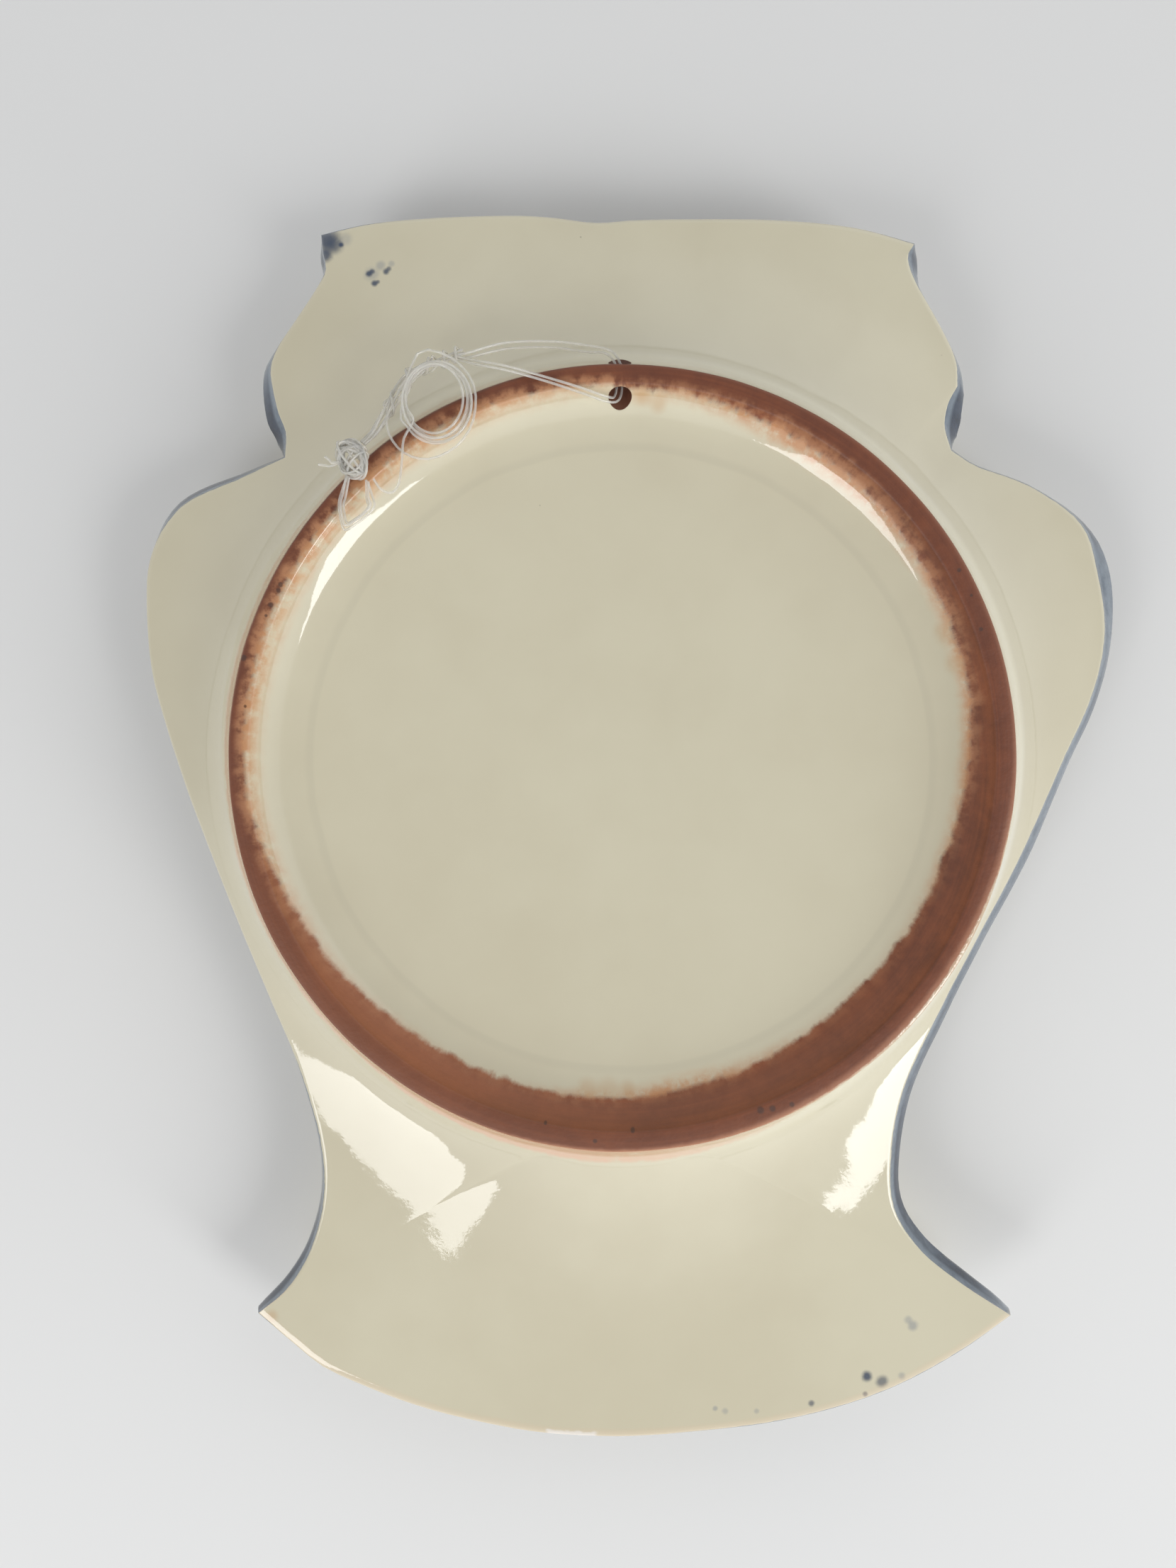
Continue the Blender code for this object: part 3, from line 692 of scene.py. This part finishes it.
# The hanging tunnel, drilled under the crest from inside the ring while the clay was
# leather hard, so that it dips towards its outer mouth.
TUNNEL_RADIUS = 0.00225
TUNNEL_OFFSET = -0.0004
TUNNEL_LENGTH = 0.024
TUNNEL_DIP = math.radians(10)
SMOOTH_ANGLE = math.radians(38)
bpy.ops.object.select_all(action="DESELECT")
bpy.ops.mesh.primitive_cylinder_add(
    vertices=48, radius=TUNNEL_RADIUS, depth=TUNNEL_LENGTH,
    location=(-TUNNEL_OFFSET, -RECESS_DEPTH / 2, 0.0), rotation=(TUNNEL_DIP, 0.0, 0.0),
)
drill = bpy.context.object
bore = plate.modifiers.new("bore", "BOOLEAN")
bore.operation = "DIFFERENCE"
bore.solver = "EXACT"
bore.object = drill
bpy.ops.object.select_all(action="DESELECT")
bpy.context.view_layer.objects.active = plate
plate.select_set(True)
bpy.ops.object.modifier_apply(modifier="bore")
bpy.data.objects.remove(drill, do_unlink=True)
bpy.ops.object.shade_smooth_by_angle(angle=SMOOTH_ANGLE)

# Its finish on the back and the side: cream glaze, clay where the foot ring is wiped
# bare, the smears and specks of the kiln, and the blue. Places are measured right and
# up of the ring's middle, and bearings in degrees, clockwise from twelve o'clock.
GLAZE_IOR = 1.7
CREAM = ((0.680, 0.626, 0.462), (0.732, 0.684, 0.514))


def length_of(across, along):
    squares = across * across + along * along
    return squares.maths("SQRT", squares)


def on_plate():
    """The coordinates, and how far right, up and out of the ring's middle a point is."""
    place = wire.node("ShaderNodeTexCoord", output="Object")
    right = place.node("ShaderNodeSeparateXYZ", None, {0: place}, "X") * -1.0
    up = place.node("ShaderNodeSeparateXYZ", None, {0: place}, "Z") + FOOT_CREST_RADIUS
    return place, right, up, length_of(right, up)


def measured(name):
    """A value that the mesh holds at its points."""
    return wire.node("ShaderNodeAttribute", {"attribute_name": name}, None, "Fac")


def grains():
    """The unevenness of glaze and clay: hand-sized clouds, mottling and grit."""
    return (
        place.grain(14.0, 2.0, seed=1.3), place.grain(70.0, 3.0, seed=2.1),
        place.grain(420.0, 3.0, 0.6, seed=3.7),
    )


def clouded_cream():
    """The cream, yellower where the glaze pooled."""
    return (broad + middling * 0.5).rise(-0.3, 0.3).blend(*CREAM)


def glazed(surface, roughness, relief):
    """The colour, the roughness and the fine relief, joined to the shader."""
    shader.inputs["IOR"].default_value = GLAZE_IOR
    wire.tree.links.new(surface.socket, shader.inputs["Base Color"])
    wire.tree.links.new(roughness.socket, shader.inputs["Roughness"])
    bump = wire.node("ShaderNodeBump", None, {"Height": relief, "Strength": 1.0, "Distance": 1.0})
    wire.tree.links.new(bump.socket, shader.inputs["Normal"])


glaze, shader, wire = new_material("tin_glazed_clay")
place, right, up, radius = on_plate()
# The bearing as a share of the whole turn.
bearing = right.maths("ARCTAN2", right * -1.0, up * -1.0) / (2 * math.pi) + 0.5
near_edge = measured("near_edge")
on_front = measured("on_front")
edge_blue = measured("edge_blue")
broad, middling, fine = grains()
finest = place.grain(1500.0, 1.0, 0.5, seed=5.1)
streaks = wire.node(
    "ShaderNodeCombineXYZ", None, {0: bearing * 60.0, 1: radius * 90.0, 2: 0.0}
).grain(2.2, 4.0, 0.65, seed=7.7)
rings_of_wiping = wire.node(
    "ShaderNodeCombineXYZ", None, {0: bearing * 9.0, 1: radius * 1400.0, 2: 0.0}
).grain(1.0, 3.0, 0.6, seed=4.4)


def by_bearing(stops):
    """A value around the ring, from its values at some bearings."""
    greys = [(degrees / 360, (value, value, value)) for degrees, value in stops]
    return wire.node("ShaderNodeValToRGB", {"stops": greys}, {0: bearing})


def between(value, start, full, fading, end):
    """1 from full to fading, and 0 before start and past end."""
    return value.rise(start, full) * value.rise(end, fading)


# The cream, with a paler halo round the foot ring, and a faint grey line of painted shade along the crease
# in the dish.
HALO_CREAM = (0.82, 0.78, 0.63)
HALO = [(0, 0.6), (40, 0.8), (90, 1.0), (150, 0.7), (180, 0.1), (290, 0.0), (330, 0.5)]
CREASE_SHADE_GREY = (0.45, 0.42, 0.32)
CREASE_SHADE_STRENGTH = 0.12
halo = between(radius, 0.0766, 0.0775, 0.0805, 0.0826) * by_bearing(HALO)
cream = halo.blend(clouded_cream(), HALO_CREAM)
# Painted shade: grey where the recess's cove meets its flat floor.
crease_shade = between(radius + middling * 0.0012, 0.0610, 0.0618, 0.0622, 0.0636)
cream = (crease_shade * CREASE_SHADE_STRENGTH).blend(cream, CREASE_SHADE_GREY)

# Bare clay on the foot ring, wider towards the bottom and the right. Each limit is a
# share of the reach, out from the first radius.
INNER_FIRST = 0.064
INNER_REACH = 0.012
INNER_LIMITS = [
    (0, 0.70), (30, 0.62), (60, 0.52), (80, 0.47), (105, 0.27), (135, 0.12), (165, 0.22),
    (180, 0.30), (215, 0.33), (240, 0.54), (265, 0.79), (290, 0.83), (330, 0.81), (360, 0.70),
]
OUTER_FIRST = 0.0757
OUTER_REACH = 0.0024
OUTER_LIMITS = [
    (0, 0.62), (60, 0.58), (90, 0.50), (105, 0.25), (120, 0.0), (150, 0.25), (180, 0.60),
    (210, 0.87), (240, 0.85), (270, 0.80), (330, 0.78), (360, 0.62),
]
inner_share = by_bearing(INNER_LIMITS) * INNER_REACH
inner_limit = inner_share + INNER_FIRST + streaks * 0.0026 + middling * 0.0012
past_inner = radius - inner_limit
outer_share = by_bearing(OUTER_LIMITS)
outer_edge = outer_share * OUTER_REACH + OUTER_FIRST + fine * 0.0008 + middling * outer_share * 0.0010
bare = past_inner.rise(-0.0006, 0.0006) * (outer_edge - radius).rise(-0.0002, 0.0003)

# The clay's colour: brown red, darker outside the crest, and thinned with glaze along both limits.
# Towards the lower left and the bottom it is more orange and lighter, partly its own tone and
# partly painted light, and paler still on the inner slope there, which is painted light against
# the shade on that slope.
CLAY = ((0.125, 0.027, 0.006), (0.285, 0.073, 0.018))
ORANGE_AND_LIT_CLAY = (0.34, 0.112, 0.036)
LIT_PALE_CLAY = (0.47, 0.155, 0.055)
DARK_CLAY = (0.125, 0.025, 0.002)
THINNED_CLAY = (0.50, 0.225, 0.100)
FRINGE_CLAY = (0.52, 0.23, 0.12)
ORANGE_AND_LIT_SHARES = [(0, 0.0), (120, 0.1), (150, 0.3), (180, 0.5), (225, 1.0), (250, 0.6), (270, 0.1)]
THINNING = [
    (0, 0.4), (40, 0.6), (80, 0.6), (110, 0.2), (160, 0.2), (240, 0.3), (280, 0.9), (330, 0.9),
]
FRINGES = [
    (0, 0.1), (120, 0.6), (150, 0.6), (180, 0.9), (230, 0.9), (270, 0.5), (300, 0.1), (360, 0.1),
]
clay = (middling + rings_of_wiping * 0.8 + fine * 0.7).rise(-0.45, 0.5).blend(*CLAY)
orange_and_lit = by_bearing(ORANGE_AND_LIT_SHARES)
# Partly painted light: the clay is lightened towards the lower left and the bottom.
clay = (orange_and_lit * 0.50).blend(clay, ORANGE_AND_LIT_CLAY)
# Painted light: paler on the ring's lower inner slope, which lies in shade.
clay = (orange_and_lit * radius.rise(0.0731, 0.0722) * 0.35).blend(clay, LIT_PALE_CLAY)
clay = (radius.rise(0.0722, 0.0736) * 0.45).blend(clay, DARK_CLAY)
thinned = past_inner.rise(0.0024, 0.0004) * by_bearing(THINNING) * (streaks + fine * 0.8).rise(-0.22, 0.12)
clay = thinned.blend(clay, THINNED_CLAY)
fringe = (radius - outer_edge).rise(-0.0016, -0.0002) * by_bearing(FRINGES)
clay = fringe.blend(clay, FRINGE_CLAY)

# Peach smears where the clay slip ran thin over the glaze inside the ring.
PEACH = ((0.73, 0.51, 0.31), (0.60, 0.30, 0.145))
PEACH_SHARES = [
    (0, 0.6), (25, 0.9), (60, 0.8), (80, 0.9), (110, 0.6), (130, 0.2), (165, 0.7), (185, 0.8),
    (200, 0.2), (245, 0.6), (280, 0.8), (320, 0.9), (345, 0.7), (360, 0.6),
]
PEACH_WIDTH = 0.0052
PEACH_WIDTHS = [
    (0, 0.3), (30, 0.7), (60, 0.5), (90, 0.5), (140, 0.3), (170, 0.7), (200, 0.2), (240, 0.4),
    (285, 0.8), (330, 0.8), (360, 0.3),
]
peach = (past_inner + by_bearing(PEACH_WIDTHS) * PEACH_WIDTH).rise(-0.0004, 0.0030)
peach = peach * by_bearing(PEACH_SHARES) * (streaks + fine * 0.5).rise(-0.30, 0.15)
peach = peach * radius.rise(0.0768, 0.0764)
near_clay = past_inner.rise(-0.0030, 0.0)
peach_colour = (streaks + fine + near_clay * 0.7).rise(-0.3, 0.9).blend(*PEACH)
surface = (peach * 1.3).low(1.0).blend(cream, peach_colour)

# Salmon slip that spilled past the ring's foot, down the left and round the bottom.
SALMON = ((0.58, 0.29, 0.145), (0.80, 0.53, 0.39))
SPILL_FIRST = 0.0777
SPILL_REACH = 0.004
SPILL_LIMITS = [
    (0, 0.30), (120, 0.30), (150, 0.38), (180, 0.82), (210, 0.72), (240, 0.62), (270, 0.50),
    (330, 0.42), (360, 0.30),
]
SPILLS = [
    (0, 0.1), (110, 0.1), (150, 0.3), (180, 0.8), (210, 0.95), (240, 0.95), (270, 0.7), (300, 0.5),
    (330, 0.3), (360, 0.1),
]
SPILL_PALENESS = [(0, 0.0), (150, 0.3), (180, 1.0), (205, 0.3), (360, 0.0)]
spill_limit = by_bearing(SPILL_LIMITS) * SPILL_REACH + SPILL_FIRST
spill_limit = spill_limit + middling * 0.0016 + fine * 0.0010 + streaks * 0.0012
spill = (spill_limit - radius).rise(-0.0006, 0.0006) * by_bearing(SPILLS)
spill = spill * (middling + fine * 0.6).rise(-0.60, -0.05) * radius.rise(0.0753, 0.0758)
spilt = radius + middling * 0.0008 + by_bearing(SPILL_PALENESS) * 0.0010
surface = spill.blend(surface, spilt.rise(0.0794, 0.0804).blend(*SALMON))
surface = bare.blend(surface, clay)


def blot(at, size, softness=0.4):
    """A round mark with a ragged outline."""
    across = right - at[0] + fine * (size * 0.9)
    along = up - at[1] + middling * (size * 0.9)
    return length_of(across, along).rise(size * (1 + softness), size * (1 - softness))


# Scorched specks, pits and stray drops, each at (right, up) with its radius.
SCORCH_BROWN = (0.060, 0.022, 0.012)
SCORCH_STRENGTH = 0.75
SCORCHES = [
    (-0.0664, 0.0336, 0.0005), (-0.0668, 0.0325, 0.0005), (-0.0683, 0.0297, 0.0005),
    (-0.0692, 0.0276, 0.0003), (0.0268, -0.0684, 0.0007), (0.0291, -0.0681, 0.0006),
    (0.0329, -0.0673, 0.0005), (0.0653, 0.0364, 0.0004), (0.0677, 0.0315, 0.0003),
    (0.0696, 0.0249, 0.0004), (-0.0736, 0.0194, 0.0006), (-0.0732, 0.0100, 0.0003),
    (-0.0053, -0.0744, 0.0004), (0.0020, -0.0725, 0.0004), (-0.0150, -0.0710, 0.0003),
]
for x, y, size in SCORCHES:
    surface = (blot((x, y), size) * SCORCH_STRENGTH).blend(surface, SCORCH_BROWN)

# Clay smears beside the tunnel's mouth, at the bottom and the right of the recess and
# on a foot tip, each with its strength.
SMEAR_TAN = (0.60, 0.36, 0.17)
CLAY_SMEARS = [
    (0.0031, 0.0716, 0.0017, 0.55), (0.0071, 0.0700, 0.0015, 0.45), (0.0045, 0.0707, 0.0012, 0.4),
    (-0.0067, -0.0657, 0.0018, 0.35), (-0.0028, -0.0658, 0.0020, 0.30), (0.0011, -0.0657, 0.0014, 0.35),
    (0.0652, 0.0250, 0.0024, 0.40), (0.0668, 0.0190, 0.0020, 0.35), (-0.0731, -0.1169, 0.0011, 0.40),
]
for x, y, size, strength in CLAY_SMEARS:
    surface = (blot((x, y), size, 0.7) * strength * (1.0 - bare)).blend(surface, SMEAR_TAN)

# Blue fingermarks and splashes on the back, thin where they are faint.
SPLASH_BLUE = (0.055, 0.080, 0.135)
FAINT_BLUE = (0.160, 0.205, 0.290)
BLUE_SPLASHES = [
    (-0.0616, 0.1091, 0.0025, 0.90), (-0.0598, 0.1078, 0.0015, 0.60), (-0.0620, 0.1058, 0.0014, 0.85),
    (-0.0585, 0.1080, 0.0005, 0.95), (-0.0575, 0.1092, 0.0012, 0.25), (-0.0520, 0.1015, 0.0013, 0.30),
    (-0.0525, 0.1016, 0.0006, 0.90), (-0.0519, 0.1021, 0.0005, 0.80), (-0.0489, 0.1020, 0.0006, 0.85),
    (-0.0483, 0.1026, 0.0005, 0.70), (-0.0513, 0.0995, 0.0006, 0.90), (-0.0506, 0.0998, 0.0004, 0.70),
    (-0.0501, 0.1033, 0.0009, 0.35), (-0.0478, 0.1037, 0.0006, 0.30), (0.0626, 0.1087, 0.0008, 0.70),
    (0.0616, -0.1187, 0.0010, 0.45), (0.0605, -0.1175, 0.0008, 0.35), (0.0518, -0.1295, 0.0010, 0.90),
    (0.0551, -0.1306, 0.0011, 0.70), (0.0515, -0.1333, 0.0005, 0.70), (0.0592, -0.1295, 0.0007, 0.35),
    (0.0402, -0.1352, 0.0006, 0.70), (0.0221, -0.1368, 0.0006, 0.30), (0.0287, -0.1368, 0.0005, 0.30),
    (0.0200, -0.1362, 0.0005, 0.40),
]
for x, y, size, strength in BLUE_SPLASHES:
    splash_colour = SPLASH_BLUE if strength > 0.5 else FAINT_BLUE
    surface = (blot((x, y), size, 0.6) * strength).blend(surface, splash_colour)

# Pinholes and specks, few and far between.
CELLS_TO_THE_METRE = 120.0
SPECK_BROWN = (0.16, 0.13, 0.09)
SPECK_STRENGTH = 0.45
cell = {"Vector": place, "Scale": CELLS_TO_THE_METRE}
from_cell_middle = place.node("ShaderNodeTexVoronoi", None, cell)
cell_colour = place.node("ShaderNodeTexVoronoi", None, cell, "Color")
drawn = wire.node("ShaderNodeSeparateColor", None, {0: cell_colour}, 0).rise(0.90, 0.96)
surface = (from_cell_middle.rise(0.035, 0.015) * drawn * SPECK_STRENGTH).blend(surface, SPECK_BROWN)

# The glaze is chipped white at the bottom, and thin along the foot's edge.
CHIP_MIDDLE = -0.0100
CHIP_WHITE = (0.88, 0.88, 0.84)
THIN_GLAZE = (0.78, 0.58, 0.40)
THIN_STRENGTH = 0.30
beside_chip = right - CHIP_MIDDLE
chip = (beside_chip + fine * 0.002).rise(-0.0058, -0.0048) * beside_chip.rise(0.0056, 0.0044)
chip = chip * (near_edge + fine * 0.12).rise(0.86, 0.92) * up.rise(-0.130, -0.134)
surface = chip.blend(surface, CHIP_WHITE)
thin_glaze = (near_edge + middling * 0.10).rise(0.78, 0.92) * up.rise(-0.108, -0.114)
surface = (thin_glaze * THIN_STRENGTH).blend(surface, THIN_GLAZE)

# The drilled tunnel shows raw clay.
RAW_CLAY = (0.150, 0.050, 0.022)
tunnel_across = right - TUNNEL_OFFSET
depth = place.node("ShaderNodeSeparateXYZ", None, {0: place}, "Y") + RECESS_DEPTH / 2
tunnel_deep = depth * math.cos(TUNNEL_DIP) + (up - FOOT_CREST_RADIUS) * math.sin(TUNNEL_DIP)
in_tunnel = length_of(tunnel_across, tunnel_deep).rise(TUNNEL_RADIUS + 0.00008, TUNNEL_RADIUS + 0.00003)
in_tunnel = in_tunnel * up.rise(FOOT_CREST_RADIUS - 0.0125, FOOT_CREST_RADIUS - 0.012)
surface = in_tunnel.blend(surface, RAW_CLAY)

# Blue along the side, and here and there over the edge's corner. Its darkest navy, in
# the neck notches, at the foot corners and towards the painted face, is partly painted shade.
THICK_COBALT_AND_SHADE = ((0.014, 0.020, 0.034), (0.045, 0.066, 0.105))
THIN_COBALT = ((0.105, 0.138, 0.178), (0.215, 0.260, 0.305))
cobalt = (middling + fine).rise(-0.35, 0.35)
side_mask = (near_edge + fine * 0.05 + middling * 0.03).rise(0.955, 0.985)
paint = (edge_blue + middling * 0.5).rise(0.05, 0.4) * side_mask
over_side = (on_front + fine * 0.06 + middling * 0.12).rise(0.10, 0.22)
# Partly painted shade: near-black navy in the notches, at the foot corners and towards the painted face.
thick_paint_and_shade = (edge_blue + middling * 0.3).rise(0.45, 0.95) * over_side
paint_colour = thick_paint_and_shade.blend(cobalt.blend(*THIN_COBALT), cobalt.blend(*THICK_COBALT_AND_SHADE))
surface = paint.blend(surface, paint_colour)

# Glaze is glossy and gently uneven. Bare clay is dull, gritty and a glaze's thickness
# lower.
GLAZE_ROUGHNESS = 0.045
CLAY_ROUGHNESS = 0.55
GLAZE_THICKNESS = 0.00010
glaze_roughness = GLAZE_ROUGHNESS + middling * 0.02
glaze_relief = middling * 0.00007 + fine * 0.000012
clay_zone = (radius - inner_share).rise(INNER_FIRST - 0.0006, INNER_FIRST + 0.0008)
clay_zone = (clay_zone * radius.rise(0.0774, 0.0762)).high(in_tunnel)
clay_relief = clay_zone * (fine * 0.00010 + finest * 0.00004) - clay_zone * GLAZE_THICKNESS
glazed(surface, bare.high(in_tunnel) * CLAY_ROUGHNESS + glaze_roughness, glaze_relief + clay_relief)

# The painted face has its own finish: the cream, a blue band along the edge, lines
# inside it and round the well, and a plain sprig of flowers.
WASH = ((0.235, 0.330, 0.520), (0.400, 0.490, 0.640))
INK = ((0.030, 0.052, 0.150), (0.070, 0.115, 0.270))
painted_glaze, shader, wire = new_material("painted_glaze")
place, right, up, radius = on_plate()
near_edge = measured("near_edge")
broad, middling, fine = grains()
washes = place.grain(160.0, 4.0, 0.65, seed=7.7)
wash = (washes + middling).rise(-0.4, 0.4).blend(*WASH)
ink = (middling + fine).rise(-0.35, 0.35).blend(*INK)


def stroke(away, width):
    """A painted line this wide, where away is 0 along its middle."""
    return (away.maths("ABSOLUTE", away) + fine * 0.0005 + middling * 0.0004).rise(
        width * 0.5 + 0.00015, width * 0.5 - 0.00015
    )


def turned(at, degrees):
    """Coordinates about a point, turned."""
    swing = math.radians(degrees)
    across = right - at[0]
    along = up - at[1]
    return (
        across * math.cos(swing) + along * math.sin(swing),
        along * math.cos(swing) - across * math.sin(swing),
    )


def leaf(at, degrees, long, wide):
    """A pointed oval, 1 inside."""
    along, across = turned(at, degrees)
    girth = (1.0 - (along / long) ** 2.0).high(0.0) * wide
    return (girth - across.maths("ABSOLUTE", across) + fine * 0.0006).rise(-0.0001, 0.0003)


# The band and the lines.
LINE_FROM_EDGE = 0.0062
WELL_LINES = [(0.0640, 0.0010), (0.0618, 0.0005)]
from_edge = (1.0 - near_edge) * NEAR_EDGE
band = (from_edge + middling * 0.0012 + fine * 0.0006).rise(0.0044, 0.0040)
band_colour = (from_edge + middling * 0.001).rise(0.0030, 0.0016).blend(wash, ink)
surface = band.blend(clouded_cream(), band_colour)
surface = stroke(from_edge - LINE_FROM_EDGE, 0.0006).blend(surface, ink)
for line_radius, width in WELL_LINES:
    surface = stroke(radius - line_radius, width).blend(surface, ink)

# The sprig: a swaying stem with a twig on either side, as (side, foot, head), its
# leaves, as (middle, degrees, half length, half width), and its flowers, as (middle,
# radius, petals).
TWIGS = [(1.0, -0.0300, -0.0050), (-1.0, -0.0230, 0.0020)]
LEAVES = [
    ((-0.0110, -0.0230), 145, 0.0120, 0.0036), ((0.0090, -0.0330), 35, 0.0120, 0.0036),
    ((-0.0130, -0.0420), 155, 0.0100, 0.0030), ((0.0170, -0.0120), 50, 0.0110, 0.0030),
    ((-0.0180, -0.0040), 130, 0.0105, 0.0030),
]
FLOWERS = [((0.0020, 0.0150), 0.0165, 6), ((0.0270, 0.0010), 0.0085, 5), ((-0.0280, 0.0090), 0.0085, 5)]
FLOWER_EYE = (0.62, 0.56, 0.34)
stem_way = up * 24.0
sway = stem_way.maths("SINE", stem_way) * 0.006
stem = stroke(right - sway, 0.0011) * up.rise(-0.050, -0.048) * up.rise(0.006, 0.004)
for side, foot, head in TWIGS:
    bow = ((up - foot) * 46.0).low(1.6).high(0.0)
    twig = stroke(right * side - 0.0035 - (bow ** 0.6) * 0.0185, 0.0010)
    stem = stem.high(twig * up.rise(foot, foot + 0.001) * up.rise(head + 0.001, head))
surface = stem.blend(surface, ink)
for at, degrees, long, wide in LEAVES:
    shape = leaf(at, degrees, long, wide)
    surface = shape.blend(surface, wash)
    vein = stroke(turned(at, degrees)[1], 0.0006) * leaf(at, degrees, long * 1.08, wide)
    rim = shape * (1.0 - leaf(at, degrees, long * 0.90, wide * 0.70))
    surface = vein.high(rim).blend(surface, ink)
for at, size, petals in FLOWERS:
    across, along = turned(at, 0)
    reach = length_of(across, along)
    swing = across.maths("ARCTAN2", across, along) * petals
    limit = (swing.maths("COSINE", swing) * 0.24 + 0.76) * size + middling * 0.0008
    surface = (limit - reach).rise(-0.0001, 0.0003).blend(surface, wash)
    surface = stroke(limit - reach, 0.0008).blend(surface, ink)
    inner = ((limit * 0.55 - reach).rise(-0.0008, 0.0022)) * (washes + fine).rise(-0.3, 0.3)
    surface = inner.blend(surface, ink)
    past_eye = reach - size * 0.20
    surface = past_eye.rise(0.0004, -0.0002).blend(surface, FLOWER_EYE)
    surface = stroke(past_eye, 0.0006).blend(surface, ink)
glazed(surface, GLAZE_ROUGHNESS + middling * 0.02, middling * 0.00007 + fine * 0.000012)

# The faces from the side's front corner on are the painted ones.
plate.data.materials.clear()
plate.data.materials.append(glaze)
plate.data.materials.append(painted_glaze)
sides = [value.value for value in plate.data.attributes["on_front"].data]
for face in plate.data.polygons:
    if min(sides[corner] for corner in face.vertices) > (SIDE_END + FRONT_CORNER) / 2:
        face.material_index = 1
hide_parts("plate")
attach(plate, "root")


# The white table that the plate lies on, face down. It stands upright here, as the
# plate does, and can be looked through from the plate's painted side.
TABLE_PLACE = -0.041
TABLE_WIDTH = 3.0
bpy.ops.object.select_all(action="DESELECT")
bpy.ops.mesh.primitive_plane_add(
    size=TABLE_WIDTH, location=(0.0, TABLE_PLACE, -FOOT_CREST_RADIUS), rotation=(-math.pi / 2, 0.0, 0.0)
)
table = bpy.context.object
table.name = "table"
table.visible_shadow = False
table_white, table_shader, wire = new_material("table_white")
table_shader.inputs["Base Color"].default_value = (0.825, 0.825, 0.815, 1.0)
table_shader.inputs["Roughness"].default_value = 0.6
behind = wire.node("ShaderNodeNewGeometry", output="Backfacing")
clear = wire.node("ShaderNodeBsdfTransparent")
seen = wire.node(
    "ShaderNodeMixShader", None,
    {0: behind, 1: Wire(wire.tree, table_shader.outputs[0]), 2: clear},
)
wire.tree.links.new(seen.socket, wire.tree.nodes["Material Output"].inputs[0])
table.data.materials.append(table_white)
table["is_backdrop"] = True

# Light: the glow of two long windows, low on the left and right, and a pale room. A
# small lamp on the other side of the table is for the painted side. The room's walls
# glow in shares of their own, to the left, right, top and foot of the picture.
ROOM_GLOW = 0.03
CEILING_GLOW = 0.17
LEFT_GLOW = 0.46
RIGHT_GLOW = 0.80
TOP_GLOW = 0.75
FOOT_GLOW = 0.85
LAMPS = [
    ("left_window", (1.18, 1.0, -1.53), (0.60, 0.0, -0.80), (0.55, 2.2), 16.0),
    ("right_window", (-1.70, 1.0, -1.31), (-0.79, 0.0, -0.61), (0.45, 2.7), 22.0),
    ("front_light", (0.0, -1.4, -0.075), (0.0, 0.0, 1.0), (0.3, 0.3), 5.0),
]
world = bpy.data.worlds.new("room")
world.use_nodes = True
room = Wire(world.node_tree)
heading = room.node("ShaderNodeTexCoord", output="Generated")
on_this_side = room.node("ShaderNodeSeparateXYZ", None, {0: heading}, "Y").rise(-0.05, 0.05)
leftward = room.node("ShaderNodeSeparateXYZ", None, {0: heading}, "X")
upward = room.node("ShaderNodeSeparateXYZ", None, {0: heading}, "Z")
sides = leftward.high(0.0) * LEFT_GLOW - leftward.low(0.0) * RIGHT_GLOW
walls = sides + upward.high(0.0) * TOP_GLOW - upward.low(0.0) * FOOT_GLOW
overhead = room.node("ShaderNodeSeparateXYZ", None, {0: heading}, "Y").rise(0.72, 0.86)
glow = on_this_side * (overhead * CEILING_GLOW + (1.0 - overhead) * walls)
background = world.node_tree.nodes["Background"]
background.inputs[0].default_value = (0.97, 0.98, 1.0, 1.0)
room.tree.links.new((ROOM_GLOW + glow).socket, background.inputs[1])
bpy.context.scene.world = world
for name, where, along, size, power in LAMPS:
    lamp = bpy.data.objects.new(name, bpy.data.lights.new(name, "AREA"))
    lamp.data.shape = "RECTANGLE"
    lamp.data.size = size[0]
    lamp.data.size_y = size[1]
    lamp.data.energy = power
    away = Vector((0.0, math.copysign(1.0, where[1]), 0.0))
    along = Vector(along).normalized()
    lamp.location = where
    lamp.rotation_euler = Matrix((along.cross(away), along, away)).transposed().to_euler()
    bpy.context.scene.collection.objects.link(lamp)

low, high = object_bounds()
